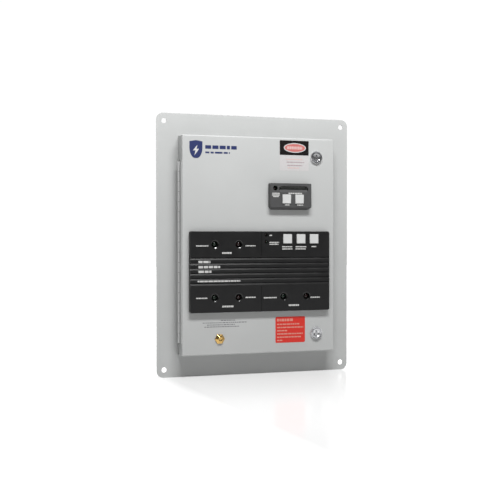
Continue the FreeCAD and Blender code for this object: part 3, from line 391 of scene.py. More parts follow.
def printFinish(name, colour, rough=0.5, shine=0.5):
    # screen ink, a little darker where it is thin
    mat, tree, shader, place = newFinish(name)
    thin = tuple(c * 0.86 for c in colour)
    ink = colourRamp(tree, noiseAt(tree, place, 700, 4, 0.7), [(0.36, thin), (0.6, colour)])
    tree.links.new(ink, shader.inputs["Base Color"])
    tree.links.new(remap(tree, noiseAt(tree, place, 300, 3), 0.3, 0.7, rough - 0.06, rough + 0.06),
                   shader.inputs["Roughness"])
    tree.links.new(bumpFrom(tree, noiseAt(tree, place, 900, 2), 0.1, 0.00003), shader.inputs["Normal"])
    shader.inputs["Specular IOR Level"].default_value = shine
    return mat


enamelLook = {"colour": (0.448, 0.456, 0.452), "cloudScale": 5, "speckScale": 520, "specks": 0.12,
              "rub": 0.5, "rubWidth": 0.006, "rough": 0.42, "peelScale": 1500, "peel": 0.35, "coat": 0.12}


def makeFinishes():
    doorLow, doorHigh = boxOf("door_pan")
    flangeLow, flangeHigh = boxOf("wall_flange")
    made = {}
    made["doorEnamel"] = enamelFinish("grey_enamel_door", enamelLook, doorHigh.x, doorHigh.z)
    made["flangeEnamel"] = enamelFinish("grey_enamel_flange", enamelLook, flangeHigh.x, flangeHigh.z)
    made["boxEnamel"] = enamelFinish("grey_enamel_box", enamelLook)
    made["zinc"] = metalFinish("zinc_steel", (0.62, 0.62, 0.60), rough=0.32, scale=300, relief=0.1,
                               stains=0.25)
    # the hinge pin is painted near black: painted shade that shows as dark ticks in the gaps between the
    # knuckles
    made["pin"] = metalFinish("dark_pin_painted_gap_shade", (0.14, 0.14, 0.14), rough=0.5, lines=(1, 1, 0.05), scale=900,
                              relief=0.2, stains=0.4)
    made["modulePlastic"] = mouldedFinish("module_plastic", (0.035, 0.04, 0.05), rough=0.5, grain=700,
                                          relief=0.4)
    made["varistor"] = mouldedFinish("varistor_coat", (0.02, 0.06, 0.3), rough=0.3, grain=400,
                                     relief=0.3)
    made["copper"] = metalFinish("copper", (0.80, 0.42, 0.27), rough=0.26, lines=(1, 1, 0.04),
                                 scale=900, stains=0.35)
    made["insulator"] = mouldedFinish("insulator", (0.55, 0.5, 0.38), rough=0.45, grain=600, relief=0.3)
    made["brass"] = metalFinish("brass", (0.80, 0.52, 0.18), rough=0.12, scale=900, relief=0.06,
                                stains=0.25)
    made["board"] = boardFinish("circuit_board")
    made["nylon"] = mouldedFinish("nylon", (0.72, 0.71, 0.66), rough=0.4, grain=500, relief=0.2)
    made["clip"] = metalFinish("tinned_clip", (0.75, 0.74, 0.71), rough=0.25, lines=(0.1, 1, 1),
                               scale=900)
    made["fuse"] = mouldedFinish("fuse_ceramic", (0.68, 0.66, 0.6), rough=0.25, grain=300, relief=0.1)
    made["potting"] = mouldedFinish("black_potting", (0.018, 0.018, 0.02), rough=0.4, grain=800,
                                    relief=0.3)
    made["capacitor"] = mouldedFinish("capacitor_case", (0.55, 0.32, 0.03), rough=0.3, grain=500,
                                      relief=0.15)
    made["ribbon"] = mouldedFinish("ribbon_jacket", (0.30, 0.31, 0.33), rough=0.4, grain=700,
                                   relief=0.15)
    made["foam"] = mouldedFinish("foam_rubber", (0.02, 0.02, 0.02), rough=0.85, grain=1400, relief=0.9)
    made["blackPanel"] = mouldedFinish("black_moulding", (0.007, 0.007, 0.0073), rough=0.34, grain=1100,
                                       relief=0.2, spread=0.12, shine=0.42)
    made["gloss"] = mouldedFinish("gloss_black", (0.006, 0.006, 0.006), rough=0.14, relief=0.04,
                                  spread=0.1, shine=0.6)
    made["greyCase"] = mouldedFinish("grey_moulding", (0.062, 0.062, 0.063), rough=0.48, relief=0.35,
                                     spread=0.1, shine=0.35)
    made["greenLens"] = lensFinish("green_lens", (0.002, 0.009, 0.004))
    made["redLens"] = lensFinish("red_lens", (0.010, 0.002, 0.002))
    made["window"] = windowFinish("clear_window")
    made["display"] = mouldedFinish("display_glass", (0.16, 0.165, 0.155), rough=0.3, grain=300,
                                    relief=0.05)
    made["chrome"] = metalFinish("chrome", (0.8, 0.805, 0.82), rough=0.045, scale=600, relief=0.02,
                                 stains=0.2, spread=0.04)
    made["film"] = printFinish("label_film", (0.53, 0.515, 0.515), rough=0.32)
    made["redFilm"] = printFinish("red_label_film", (0.63, 0.024, 0.014), rough=0.35)
    made["key"] = mouldedFinish("white_key", (0.54, 0.545, 0.54), rough=0.34, grain=1000, relief=0.12,
                                spread=0.03)
    made["whiteInk"] = printFinish("white_ink", (0.55, 0.55, 0.54))
    made["greyInk"] = printFinish("grey_ink", (0.16, 0.16, 0.17))
    made["blackInk"] = printFinish("black_ink", (0.010, 0.008, 0.008), rough=0.35, shine=0.2)
    made["redInk"] = printFinish("red_ink", (0.5, 0.15, 0.14), rough=0.4)
    made["roseInk"] = printFinish("rose_ink", (0.66, 0.25, 0.2), rough=0.4)
    made["mauveInk"] = printFinish("mauve_ink", (0.34, 0.25, 0.27), rough=0.4)
    made["pinkInk"] = printFinish("pink_ink", (0.62, 0.42, 0.40), rough=0.4)
    made["blueInk"] = printFinish("blue_ink", (0.02, 0.03, 0.11), rough=0.4)
    return made


finishes = makeFinishes()
print("finishes made,", len(finishes))

nodesByFinish = {
    "flangeEnamel": ["wall_flange"],
    "boxEnamel": ["back_box", "box_ends", "door_rim", "hinge_box_leaf", "hinge_door_leaf"],
    "doorEnamel": ["door_pan"],
    "zinc": ["sub_panel", "panel_standoffs", "panel_nuts", "module_screws", "clamp_screws",
             "status_panel_nuts", "lock_nuts", "upper_lock_cam", "lower_lock_cam"],
    "pin": ["hinge_pin"],
    "modulePlastic": ["surge_module_a", "surge_module_b", "surge_module_c"],
    "varistor": ["varistor_discs"],
    "copper": ["module_tabs", "busbars"],
    "insulator": ["busbar_supports", "terminal_block"],
    "brass": ["ground_bar", "door_ground_bolt", "door_ground_nut"],
    "board": ["interface_board", "monitor_board", "counter_board"],
    "nylon": ["interface_spacers", "board_spacers", "ribbon_harness"],
    "clip": ["fuse_clips"],
    "fuse": ["fuse_links"],
    "potting": ["control_transformer", "interface_header", "tact_switches", "alarm_buzzer",
                "board_components"],
    "capacitor": ["filter_capacitors"],
    "foam": ["door_gasket"],
    "blackPanel": ["status_panel"],
    "greenLens": ["ready_lights"],
    "redLens": ["replace_lights", "service_lights"],
    "greyCase": ["counter_housing"],
    "window": ["counter_window"],
    "display": ["counter_display"],
    "chrome": ["lock_barrels", "upper_lock_plug", "lower_lock_plug"],
    "film": ["upper_label"],
    "redFilm": ["lower_label"],
    "key": ["enable_button", "silence_button", "test_button", "counter_left_button",
            "counter_right_button"],
}
for finish, names in nodesByFinish.items():
    for name in names:
        mesh = cadNodes[name].data
        mesh.materials.clear()
        mesh.materials.append(finishes[finish])
print("CAD nodes painted")


# the front faces that print and labels stand on
doorFace = boxOf("door_pan")[0].y
panelFace = boxOf("status_panel")[0].y
counterFace = boxOf("counter_housing")[0].y
inkThick = 0.00012
chance = random.Random(7)   # the lengths of the printed bars


def addStrip(x, z, wide, tall, face):
    # a thin printed bar on a face, from its left end, in millimetres from the door's middle
    low = (x * mm, face - inkThick, (z - tall / 2) * mm)
    high = ((x + wide) * mm, face, (z + tall / 2) * mm)
    return addBlock("strip", low, high)


def wordRow(x, z, wide, tall, face, gap, longest):
    # a row of short bars that stands for one line of small print
    strips = []
    at = x
    while at < x + wide - 1:
        length = min(chance.uniform(0.35, 1) * longest, x + wide - at)
        strips.append(addStrip(at, z, length, tall, face))
        at += length + gap
    return strips


def makeKey(name, node, body, look):
    low, high = boxOf(node)
    middle = (low + high) / 2
    half = look["side"] / 2
    capBack = high.y - look["stem"] - look["rim"]
    cap = addBlock(name, (middle.x - half, low.y, middle.z - half),
                   (middle.x + half, capBack, middle.z + half))
    # the front is drawn in and sunk a little, so that a finger finds its middle
    pickFaces(cap, lambda at, normal: normal.y < -0.9)
    bpy.ops.mesh.inset(thickness=look["margin"])
    bpy.ops.mesh.subdivide(number_cuts=4, smoothness=0)
    leaveEdit()
    for vertex in cap.data.vertices:
        if vertex.co.y > low.y + 0.0001:
            continue
        across = max(abs(vertex.co.x - middle.x), abs(vertex.co.z - middle.z)) / (half - look["margin"])
        if across < 0.999:
            vertex.co.y += look["dish"] * (1 - across ** 2)
    bevelEdges(cap, look["edge"], 3, 50)
    # a thin rim holds it behind the panel, on a round stem
    reach = half + look["rimOut"]
    rim = addBlock("rim", (middle.x - reach, capBack, middle.z - reach),
                   (middle.x + reach, capBack + look["rim"], middle.z + reach))
    bevelEdges(rim, look["rimEdge"], 2)
    stem = addRod("stem", (middle.x, middle.z), look["stemRadius"], capBack + look["rim"], high.y)
    key = joinPieces(name, [cap, rim, stem])
    smooth(key, 40)
    finishPiece(key, body, finishes["key"], [node])


panelKey = {"side": 0.0175, "margin": 0.0016, "dish": 0.0004, "edge": 0.0006, "rim": 0.0012,
            "rimOut": 0.0015, "rimEdge": 0.0002, "stem": 0.0022, "stemRadius": 0.003}
counterKey = dict(panelKey, side=0.0170, stem=0.0008)
makeKey("enableKeyCap", "enable_button", "enable_key", panelKey)
makeKey("silenceKeyCap", "silence_button", "silence_key", panelKey)
makeKey("testKeyCap", "test_button", "test_key", panelKey)
makeKey("counterLeftKeyCap", "counter_left_button", "counter_left_key", counterKey)
makeKey("counterRightKeyCap", "counter_right_button", "counter_right_key", counterKey)
print("buttons made")


# lips are in millimetres, the first out from the bore and the second in from the rim, then back from the
# face; the face of the plug is in shares of its radius and its dish
lockLook = {"headRadius": 0.012, "headThick": 0.004, "bodyRadius": 0.0095, "boreRadius": 0.00655,
            "boreLip": [(0, 0.5), (0.4, 0.2), (1.2, 0.2), (1.6, 0.7), (1.9, 2.4), (2.7, 2.4)],
            "rimLip": [(1.8, 0.6), (1.4, 0.1), (0.8, 0), (0.3, 0.5), (0, 1.6)],
            "threadDeep": 0.0004, "threads": 10, "plugRadius": 0.0065, "dish": 0.0013,
            "plugFace": [(0.35, 0.8), (0.62, 0.45), (0.84, 0), (0.94, 0)], "plugCore": 0.0003,
            "plugEdge": 0.0003, "bridge": 0.0046, "bridgeBack": 0.001, "bridgeShare": 0.8,
            "bridgeEdge": 0.0004, "keyHole": (0.0017, 0.008, 0.005), "wardShare": 0.9,
            "tailSide": 0.007, "tailLong": 0.0046, "tailEdge": 0.0003}


def spinRing(name, profile, centre, steps=96):
    # a closed outline of (radius, depth) points turned about an axis along Y
    mesh = bpy.data.meshes.new(name)
    points = [(radius, depth, 0) for radius, depth in profile]
    count = len(points)
    mesh.from_pydata(points, [(i, (i + 1) % count) for i in range(count)], [])
    ring = bpy.data.objects.new(name, mesh)
    bpy.context.scene.collection.objects.link(ring)
    pickOnly(ring)
    bpy.ops.object.mode_set(mode="EDIT")
    bpy.ops.mesh.select_all(action="SELECT")
    bpy.ops.mesh.spin(steps=steps, angle=math.tau, center=(0, 0, 0), axis=(0, 1, 0))
    bpy.ops.mesh.select_all(action="SELECT")
    bpy.ops.mesh.remove_doubles(threshold=0.00001)
    bpy.ops.mesh.normals_make_consistent(inside=False)
    leaveEdit()
    ring.data.transform(Matrix.Translation(Vector((centre[0], 0, centre[1]))))
    return ring


def makeLockCase(name, lockX, lockZ, front, back):
    # a rounded bezel, a sunk ring round the bore and a threaded body behind
    look = lockLook
    head, bore, body = look["headRadius"], look["boreRadius"], look["bodyRadius"]
    seat = front + look["headThick"]
    outline = [(bore + out * mm, front + deep * mm) for out, deep in look["boreLip"]]
    outline += [(head - away * mm, front + deep * mm) for away, deep in look["rimLip"]]
    outline += [(head, seat), (body, seat)]
    pitch = (back - seat) / look["threads"]
    for turn in range(look["threads"]):
        outline.append((body, seat + (turn + 0.35) * pitch))
        outline.append((body - look["threadDeep"], seat + (turn + 0.7) * pitch))
    outline += [(body, back), (bore, back)]
    return smooth(spinRing(name, outline, (lockX, lockZ)), 30)


def makeLockPlug(name, lockX, lockZ, front, back):
    # a hollowed face with a raised bridge across it, and the keyway cut through the bridge
    look = lockLook
    end = back - look["tailLong"]
    radius, dish = look["plugRadius"], look["dish"]
    core = look["plugCore"]   # the outline stops short of the axis
    outline = [(core, front + dish)]
    outline += [(radius * out, front + dish * deep) for out, deep in look["plugFace"]]
    outline += [(radius, front + look["plugEdge"]), (radius, end), (core, end)]
    plug = spinRing(name, outline, (lockX, lockZ))
    half, reach = look["bridge"] / 2, radius * look["bridgeShare"]
    bridge = addBlock("bridge", (lockX - half, front + 0.1 * mm, lockZ - reach),
                      (lockX + half, front + dish + look["bridgeBack"], lockZ + reach))
    bevelEdges(bridge, look["bridgeEdge"], 2)
    useModifier(plug, "BOOLEAN", operation="UNION", object=bridge, solver="EXACT", use_self=True)
    wide, tall, deep = look["keyHole"]
    before = front - 1 * mm   # the cutter starts in front of the plug
    slot = addBlock("slot", (lockX - wide / 2, before, lockZ - tall / 2),
                    (lockX + wide / 2, front + deep, lockZ + tall / 2))
    ward = addRod("ward", (lockX, lockZ), wide * look["wardShare"], before, front + deep, 32)
    cutter = joinPieces("cutter", [slot, ward])
    useModifier(plug, "BOOLEAN", operation="DIFFERENCE", object=cutter, solver="EXACT", use_self=True)
    for spent in (bridge, cutter):
        bpy.data.objects.remove(spent)
    half = look["tailSide"] / 2
    tail = addBlock("tail", (lockX - half, end, lockZ - half), (lockX + half, back, lockZ + half))
    bevelEdges(tail, look["tailEdge"], 2)
    plug = joinPieces(name, [plug, tail])
    return smooth(plug, 30)


def makeLocks():
    low, high = boxOf("lock_barrels")
    plugLow, plugHigh = boxOf("upper_lock_plug")
    lockX = (low.x + high.x) / 2
    upZ = high.z - lockLook["headRadius"]
    downZ = low.z + lockLook["headRadius"]
    case = makeLockCase("lockCases", lockX, upZ, low.y, high.y)
    twin = copyPiece(case, "lockTwin", (0, 0, downZ - upZ))
    case = joinPieces("lockCases", [case, twin])
    finishPiece(case, "door", finishes["chrome"], ["lock_barrels"])
    upper = makeLockPlug("upperPlug", lockX, upZ, plugLow.y, plugHigh.y)
    lower = copyPiece(upper, "lowerPlug", (0, 0, downZ - upZ))
    finishPiece(upper, "upper_lock", finishes["chrome"], ["upper_lock_plug"])
    finishPiece(lower, "lower_lock", finishes["chrome"], ["lower_lock_plug"])


makeLocks()
print("locks made")


# the middles of the six wells, in millimetres from the door's middle
wellPlaces = [(-92, 2.2), (-45, 2.2), (-92, -96.3), (-45, -96.3), (45, -96.3), (92, -96.3)]


def makeWellBezels():
    # a shallow glossy cone inside the mouth of each well
    look = {"outer": 0.00772, "inner": 0.0063, "deep": 0.0008, "wall": 0.0020, "setIn": 0.00005}
    front = panelFace + look["setIn"]
    outline = [(look["outer"], front), (look["inner"], front + look["deep"]),
               (look["inner"], front + look["wall"]), (look["outer"], front + look["wall"])]
    rings = []
    for x, z in wellPlaces:
        rings.append(spinRing("bezel", outline, (x * mm, z * mm), 64))
    bezels = smooth(joinPieces("wellBezels", rings), 20)
    finishPiece(bezels, "door", finishes["gloss"])


makeWellBezels()
print("well bezels made")


def makeGroundBolt():
    # a six-sided brass head with a straight skirt, a cone and a dished crown, on a threaded shank
    look = {"across": 0.0172, "skirt": 0.0012, "cone": 0.0042, "crown": 0.42, "crownInset": 0.35,
            "dish": 0.0006, "edge": 0.0003, "turn": 28, "shank": 0.004, "core": 0.0005, "tip": 0.85,
            "threadDeep": 0.0004, "threads": 12}
    low, high = boxOf("door_ground_bolt")
    middle = (low + high) / 2
    corner = look["across"] / 2 / math.cos(math.pi / 6)
    seat = doorFace
    bolt = addRod("groundBolt", (0, 0), corner, seat - look["skirt"], seat, 6)
    pickFaces(bolt, lambda at, normal: normal.y < -0.9)
    bpy.ops.mesh.extrude_region_move(TRANSFORM_OT_translate={"value": (0, -look["cone"], 0)})
    bpy.ops.transform.resize(value=(look["crown"], 1, look["crown"]))
    bpy.ops.mesh.inset(thickness=corner * look["crown"] * look["crownInset"], depth=0)
    bpy.ops.transform.translate(value=(0, look["dish"], 0))
    leaveEdit()
    bevelEdges(bolt, look["edge"], 2, 20)
    bolt.data.transform(Matrix.Rotation(math.radians(look["turn"]), 4, "Y"))
    bolt.data.transform(Matrix.Translation(Vector((middle.x, 0, middle.z))))
    radius, core = look["shank"], look["core"]
    pitch = (high.y - seat) / look["threads"]
    outline = [(core, seat - look["skirt"] / 2), (radius, seat - look["skirt"] / 2)]
    for turn in range(look["threads"]):
        outline.append((radius, seat + (turn + 0.3) * pitch))
        outline.append((radius - look["threadDeep"], seat + (turn + 0.7) * pitch))
    outline += [(radius * look["tip"], high.y), (core, high.y)]
    shank = spinRing("shank", outline, (middle.x, middle.z), 40)
    bolt = joinPieces("groundBolt", [bolt, smooth(shank, 30)])
    finishPiece(bolt, "door", finishes["brass"], ["door_ground_bolt"])


makeGroundBolt()
print("ground bolt made")


def roundedRoute(corners, bend, steps=8):
    # points along a flat route whose corners are rounded
    points = [Vector(corners[0])]
    for before, corner, after in zip(corners, corners[1:], corners[2:]):
        before, corner, after = Vector(before), Vector(corner), Vector(after)
        into = (corner - before).normalized()
        out = (after - corner).normalized()
        centre = corner - into * bend + out * bend
        for step in range(steps + 1):
            angle = step / steps * math.pi / 2
            points.append(centre - out * bend * math.cos(angle) + into * bend * math.sin(angle))
    points.append(Vector(corners[-1]))
    return points


def makeRibbon():
    # round cores side by side, led round the corners of its route behind the hinge side
    look = {"cores": 10, "bend": 0.005, "startX": -0.1092, "endX": -0.092, "wallX": -0.141,
            "nearY": -0.0174, "crossY": -0.0074, "deepY": 0.0348, "farY": 0.0448, "step": 0.0015}
    low, high = boxOf("ribbon_harness")
    corners = [(look["startX"], look["nearY"]), (look["startX"], look["crossY"]),
               (look["wallX"], look["crossY"]), (look["wallX"], look["deepY"]),
               (look["endX"], look["deepY"]), (look["endX"], look["farY"])]
    route = roundedRoute(corners, look["bend"])
    dense = [route[0]]
    for a, b in zip(route, route[1:]):
        parts = max(1, round((b - a).length / look["step"]))
        dense += [a.lerp(b, (i + 1) / parts) for i in range(parts)]
    radius = (high.z - low.z) / look["cores"] / 2
    cores = []
    for core in range(look["cores"]):
        height = low.z + radius * (2 * core + 1)
        curve = bpy.data.curves.new("core", "CURVE")
        curve.dimensions = "3D"
        line = curve.splines.new("POLY")
        line.points.add(len(dense) - 1)
        for point, at in zip(line.points, dense):
            point.co = (at.x, at.y, height, 1)
        curve.bevel_depth = radius * 1.04
        curve.bevel_resolution = 3
        curve.use_fill_caps = True
        obj = bpy.data.objects.new("core", curve)
        bpy.context.scene.collection.objects.link(obj)
        pickOnly(obj)
        bpy.ops.object.convert(target="MESH")
        cores.append(bpy.context.object)
    ribbon = joinPieces("ribbonLead", cores)
    smooth(ribbon, 60)
    ribbon.data.materials.clear()
    ribbon.data.materials.append(finishes["ribbon"])
    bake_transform(ribbon)
    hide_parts("ribbon_harness")


makeRibbon()
print("ribbon made")


def printPiece(name, strips, body, finish):
    # strips become one piece of one ink
    piece = joinPieces(name, strips)
    finishPiece(piece, body, finishes[finish])


def captionPiece(name, groups, face, ink):
    # every group has its own gap between bars and its own longest bar
    strips = []
    for group in groups:
        for x, z, wide, tall in group["lines"]:
            strips += wordRow(x, z, wide, tall, face, group["gap"], group["longest"])
    printPiece(name, strips, "door", ink)


# each line has its left end, height, length and letter height, in millimetres from the door's middle
panelPrint = [
    {"gap": 0.6, "longest": 6, "lines": [
        (-128.5, -0.8, 25, 2.0), (-32, -0.8, 20, 2.0),        # beside the upper pair of lamps
        (-128.5, -97.0, 22, 2.2), (-32, -97.0, 20, 2.2),      # beside the lower left pair
        (4.5, -98.4, 26, 2.2), (100, -99.3, 19.5, 2.2),       # beside the lower right pair
        (-78, -14, 20, 3.2), (-78, -113.0, 22, 3.0), (55, -113.5, 21, 3.0),      # under each pair
        (16, 18.6, 6.5, 2.0), (16, 5.4, 19, 1.9), (16, 2.0, 18, 1.9)]},          # beside the small lamps
    {"gap": 1.6, "longest": 11, "lines": [                    # the panel's title
        (-124, -30.3, 23, 4.2), (-124, -39.8, 42, 4.2), (-124, -48.3, 25, 4.2)]},
    {"gap": 1.0, "longest": 9, "lines": [(-125.5, -66.0, 83, 2.8)]},             # the long line under it
    {"gap": 0.5, "longest": 8, "lines": [                     # under the keys
        (41.5, -2.9, 22, 2.0), (41.5, -7.0, 21, 2.0), (69, -2.9, 22, 2.0), (69, -7.0, 21, 2.0),
        (102, -2.7, 10, 2.1)]},
]
counterPrint = [
    {"gap": 0.8, "longest": 7, "lines": [(53.5, 98.0, 27.5, 2.4)]},              # over the keys
    {"gap": 0.5, "longest": 9, "lines": [                     # under the lamp
        (20.5, 97.6, 15, 1.9), (20.0, 94.4, 16.5, 1.9), (22.5, 91.6, 11, 1.9)]},
    {"gap": 0.5, "longest": 6, "lines": [                     # under the keys
        (46.5, 76.2, 9, 2.1), (71.5, 76.2, 12, 2.1)]},
]
doorLines = [
    {"gap": 1.4, "longest": 5, "lines": [                     # over the ground bolt
        (-77.5, -139.3, 28, 1.5), (-113, -143.4, 87, 1.5), (-104.5, -147.3, 55, 1.5),
        (-110, -150.9, 68, 1.5)]},
]
captionPiece("panelCaptions", panelPrint, panelFace, "whiteInk")
captionPiece("counterCaptions", counterPrint, counterFace, "whiteInk")
captionPiece("doorPrint", doorLines, doorFace, "greyInk")
print("captions made")


def roundedSheet(name, x, z, wide, tall, corner, face, thick):
    # a flat rounded block centred on x and z, in millimetres
    sheet = addBlock(name, ((x - wide / 2) * mm, face - thick, (z - tall / 2) * mm),
                     ((x + wide / 2) * mm, face, (z + tall / 2) * mm))
    editPiece(sheet, "EDGE")
    for edge in sheet.data.edges:
        a, b = (sheet.data.vertices[v].co for v in edge.vertices)
        edge.select = abs(a.y - b.y) > thick / 2
    bpy.ops.object.mode_set(mode="EDIT")
    bpy.ops.mesh.bevel(offset=corner * mm, segments=5, affect="EDGES")
    leaveEdit()
    return sheet


def addOval(name, x, z, wide, tall, face, thick):
    oval = addRod(name, (0, 0), 0.5, -thick, 0, 64)
    oval.scale = (wide * mm, 1, tall * mm)
    oval.location = (x * mm, face, z * mm)
    settle(oval)
    return oval


# sizes in millimetres, but the head has a share of the label's height; each row has its height and left end
# from the middle, its length and its ink
cautionLook = {"corner": 1.2, "headShare": 0.48, "headInset": 0.3, "headCorner": 1.0, "ovalRight": 1.2,
               "rim": (45.5, 18.2), "oval": (41.5, 14.8), "word": (32, 5.4), "letters": 1.5,
               "rows": {"A": (-7.2, -17.5, 36, "pinkInk"), "B": (-12.6, -15.5, 36, "mauveInk"),
                        "C": (-18.7, -14.5, 31, "mauveInk"), "D": (-23.4, -13.5, 25, "pinkInk")}}


def makeUpperLabel():
    # a black head with a rimmed oval on it, over four lines of print
    look = cautionLook
    low, high = boxOf("upper_label")
    x, z = (low.x + high.x) / 2 / mm, (low.z + high.z) / 2 / mm
    wide, tall = (high.x - low.x) / mm, (high.z - low.z) / mm
    face = low.y
    sheet = roundedSheet("cautionLabel", x, z, wide, tall, look["corner"], doorFace, doorFace - face)
    finishPiece(sheet, "door", finishes["film"], ["upper_label"])
    inset = look["headInset"]
    headTall = tall * look["headShare"]
    headMiddle = z + tall / 2 - headTall / 2 - inset
    head = roundedSheet("cautionHead", x, headMiddle, wide - 2 * inset, headTall, look["headCorner"], face,
                        inkThick)
    finishPiece(head, "door", finishes["blackInk"])
    ovalX = x + look["ovalRight"]
    rim = addOval("cautionRim", ovalX, headMiddle, *look["rim"], face - inkThick, inkThick)
    finishPiece(rim, "door", finishes["film"])
    oval = addOval("cautionOval", ovalX, headMiddle, *look["oval"], face - 2 * inkThick, inkThick)
    finishPiece(oval, "door", finishes["redInk"])
    long, letters = look["word"]
    strips = wordRow(ovalX - long / 2, headMiddle, long, letters, face - 3 * inkThick, 0.8, 4.5)
    printPiece("cautionWord", strips, "door", "pinkInk")
    for letter, (up, left, long, ink) in look["rows"].items():
        strips = wordRow(x + left, z + up, long, look["letters"], face, 0.9, 6)
        printPiece("cautionLine" + letter, strips, "door", ink)


# sizes in millimetres, and each row's share of the room between the margins
warningLook = {"corner": 2.2, "margin": 3, "title": (18.4, 34, 5.0), "first": 10.4, "pitch": 6.1,
               "letters": 2.5, "rows": (0.84, 0.99, 0.38, 0.97, 0.9, 0.2)}


def makeLowerLabel():
    look = warningLook
    low, high = boxOf("lower_label")
    x, z = (low.x + high.x) / 2 / mm, (low.z + high.z) / 2 / mm
    wide, tall = (high.x - low.x) / mm, (high.z - low.z) / mm
    sheet = roundedSheet("warningLabel", x, z, wide, tall, look["corner"], doorFace, doorFace - low.y)
    finishPiece(sheet, "door", finishes["redFilm"], ["lower_label"])
    left, room = x - wide / 2 + look["margin"], wide - 2 * look["margin"]
    up, long, letters = look["title"]
    strips = wordRow(left, z + up, long, letters, low.y, 1.2, 6)
    for row, share in enumerate(look["rows"]):
        up = look["first"] - row * look["pitch"]
        strips += wordRow(left, z + up, room * share, look["letters"], low.y, 0.9, 8)
    printPiece("warningLines", strips, "door", "roseInk")


def addPlate(name, outline, x, z, face, thick):
    # a flat plate with a drawn outline, in millimetres round its middle
    points = [((x + a) * mm, face, (z + b) * mm) for a, b in outline]
    mesh = bpy.data.meshes.new(name)
    mesh.from_pydata(points, [], [tuple(range(len(points)))])
    plate = bpy.data.objects.new(name, mesh)
    bpy.context.scene.collection.objects.link(plate)
    pickOnly(plate)
    bpy.ops.object.mode_set(mode="EDIT")
    bpy.ops.mesh.select_all(action="SELECT")
    bpy.ops.mesh.extrude_region_move(TRANSFORM_OT_translate={"value": (0, -thick, 0)})
    bpy.ops.mesh.select_all(action="SELECT")
    bpy.ops.mesh.normals_make_consistent(inside=False)
    leaveEdit()
    return plate


def shieldOutline(wide, tall, steps=12):
    # straight shoulders, then two curves that meet in a point at the bottom
    half = wide / 2
    right = [(half, tall * 0.5), (half, tall * 0.1)]
    for step in range(1, steps):
        turn = step / steps * math.pi / 2
        right.append((half * math.cos(turn) ** 0.8, tall * (0.1 - 0.6 * math.sin(turn) ** 1.15)))
    left = [(-across, up) for across, up in reversed(right)]
    return [(0, tall * 0.56)] + right + [(0, -tall / 2)] + left


# sizes in millimetres; each row has its left end, height, length and letter height
badgeLook = {"middle": (-126.0, 176.0), "shield": (25, 31),
             "bolt": ((3, 9), (-6, -1.5), (-0.8, -1.5), (-3, -10.5), (6, 1.6), (0.8, 1.6)),
             "rows": ((-108, 181.5, 62, 6.5), (-108, 171.5, 48, 3.2))}


def makeBadge():
    # a plain shield with a surge bolt on it, and two rows of bars beside it
    look = badgeLook
    x, z = look["middle"]
    shield = addPlate("shieldBadge", shieldOutline(*look["shield"]), x, z, doorFace, inkThick * 2)
    finishPiece(shield, "door", finishes["blueInk"])
    mark = addPlate("surgeMark", look["bolt"], x, z, doorFace - inkThick * 2, inkThick)
    finishPiece(mark, "door", finishes["whiteInk"])
    strips = []
    for left, up, long, letters in look["rows"]:
        strips += wordRow(left, up, long, letters, doorFace, 2.4, 17)
    printPiece("badgeLines", strips, "door", "blueInk")


makeUpperLabel()
makeLowerLabel()
makeBadge()
print("labels made")


# the plate's size is in shares of a module's face, and the rows are in shares of the plate; the corner and
# the margin are in millimetres
plateLook = {"wide": 0.62, "tall": 0.3, "corner": 1.5, "margin": 3, "first": 0.3, "pitch": 0.2,
             "letters": 0.09, "rows": (0.55, 0.85, 0.7, 0.8)}


def makeModuleLabels():
    # a pale rating plate with plain bars on each surge module, seen when the door is open
    look = plateLook
    for letter in "abc":
        low, high = boxOf("surge_module_" + letter)
        x, z = (low.x + high.x) / 2 / mm, (low.z + high.z) / 2 / mm
        wide, tall = (high.x - low.x) / mm * look["wide"], (high.z - low.z) / mm * look["tall"]
        plate = roundedSheet("modulePlate" + letter.upper(), x, z, wide, tall, look["corner"], low.y,
                             inkThick)
        finishPiece(plate, "cabinet", finishes["film"])
        left, room = x - wide / 2 + look["margin"], wide - 2 * look["margin"]
        strips = []
        for row, share in enumerate(look["rows"]):
            up = tall * (look["first"] - row * look["pitch"])
            strips += wordRow(left, z + up, room * share, tall * look["letters"], low.y - inkThick, 1.0, 6)
        printPiece("moduleWords" + letter.upper(), strips, "cabinet", "greyInk")


makeModuleLabels()
print("module plates made")


# the floor glows more from near to far, and where it is seen straight also at its sides and at its rear
floorLook = {"size": 14, "gap": 0.0004, "dark": (0.54, 0.54, 0.54), "light": (0.56, 0.56, 0.56),
             "rough": 0.16, "ior": 1.18, "near": 0.1, "far": 1.4, "dim": 0.22, "seenDim": 0.3,
             "side": (0.17, 0.3), "rear": (0.0, 0.08)}


def makeFloor():
    # glossy near the object, and fading into the white room behind it and at its sides
    look = floorLook
    clearSelection()
    bottom = cadBox[0][2]
    bpy.ops.mesh.primitive_plane_add(size=look["size"], location=(0, 0, bottom - look["gap"]))
    floor = bpy.context.object
    floor.name = "studioFloor"
    settle(floor)
    mat, tree, shader, place = newFinish("studio_floor")
    cloud = noiseAt(tree, place, 3, 2)
    tree.links.new(colourRamp(tree, cloud, [(0.3, look["dark"]), (0.7, look["light"])]),
                   shader.inputs["Base Color"])
    shader.inputs["Roughness"].default_value = look["rough"]
    shader.inputs["IOR"].default_value = look["ior"]
    shader.inputs["Emission Color"].default_value = (1, 1, 1, 1)
    across, along = axisOf(tree, place, 0), axisOf(tree, place, 1)
    glow = remap(tree, along, look["near"], look["far"], look["dim"], 1)
    beside = remap(tree, calculate(tree, "ABSOLUTE", across), *look["side"], look["seenDim"], 1)
    behind = remap(tree, along, *look["rear"], look["seenDim"], 1)
    seen = tree.nodes.new("ShaderNodeLightPath").outputs["Is Camera Ray"]
    around = calculate(tree, "MULTIPLY", seen, calculate(tree, "MAXIMUM", beside, behind))
    glow = calculate(tree, "MAXIMUM", glow, around)
    tree.links.new(glow, shader.inputs["Emission Strength"])
    floor.data.materials.append(mat)


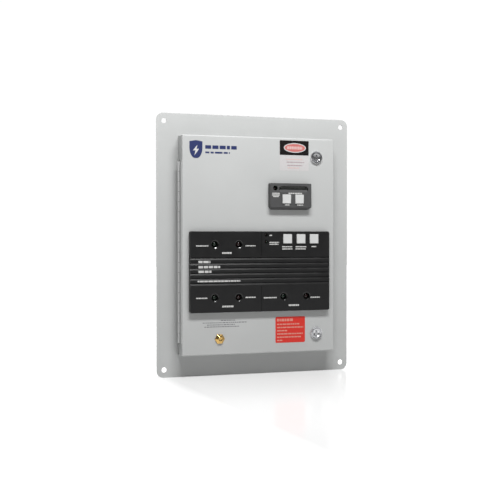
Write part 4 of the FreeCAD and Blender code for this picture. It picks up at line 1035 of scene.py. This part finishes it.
softboxLook = {"place": (-0.05, -0.75, 1.1), "aim": (0, 0, 0.05), "wide": 0.9, "tall": 0.18, "power": 24.2}


def makeSoftbox():
    look = softboxLook
    light = bpy.data.lights.new("topSoftbox", "AREA")
    light.energy = look["power"]
    light.shape = "RECTANGLE"
    light.size = look["wide"]
    light.size_y = look["tall"]
    obj = bpy.data.objects.new("topSoftbox", light)
    bpy.context.scene.collection.objects.link(obj)
    obj.location = look["place"]
    way = Vector(look["aim"]) - Vector(look["place"])
    obj.rotation_euler = way.to_track_quat("-Z", "Y").to_euler()


# the room's light grows as the view turns from the front to the rear, where the wall is
worldLook = {"front": -0.05, "rear": 0.45, "dim": 0.14, "bright": 1.03}


def makeWorld():
    # a white wall behind and a dim room in front, which looks white too when seen straight on
    look = worldLook
    world = bpy.data.worlds.new("paleRoom")
    world.use_nodes = True
    tree = world.node_tree
    sky = tree.nodes["Background"]
    sky.inputs["Color"].default_value = (1, 1, 1, 1)
    way = tree.nodes.new("ShaderNodeTexCoord").outputs["Generated"]
    wall = remap(tree, axisOf(tree, way, 1), look["front"], look["rear"], look["dim"], look["bright"])
    seen = tree.nodes.new("ShaderNodeLightPath").outputs["Is Camera Ray"]
    tree.links.new(calculate(tree, "MAXIMUM", wall, seen), sky.inputs["Strength"])
    bpy.context.scene.world = world
    bpy.context.scene.view_settings.view_transform = "Standard"


# angles in degrees; the camera slides left and down by the shift, so the object sits a little up and right
cameraLook = {"turn": -20.55, "lift": 0.73, "away": 2.03, "lens": 76.8, "aimY": -0.0016, "shift": 0.0092}


def makeCamera():
    look = cameraLook
    turn, lift = math.radians(look["turn"]), math.radians(look["lift"])
    back = Vector((math.sin(turn) * math.cos(lift), -math.cos(turn) * math.cos(lift), math.sin(lift)))
    right = Vector((math.cos(turn), math.sin(turn), 0))
    up = back.cross(right)
    camera = bpy.data.cameras.new("camera")
    camera.lens = look["lens"]
    camera.sensor_width = 36
    obj = bpy.data.objects.new("camera", camera)
    bpy.context.scene.collection.objects.link(obj)
    spot = Vector((0, look["aimY"], 0)) - (right + up) * look["shift"] + back * look["away"]
    turned = Matrix((right, up, back)).transposed().to_4x4()
    obj.matrix_world = Matrix.Translation(spot) @ turned
    bpy.context.scene.camera = obj


makeFloor()
makeWorld()
makeSoftbox()
makeCamera()
print("stage made")
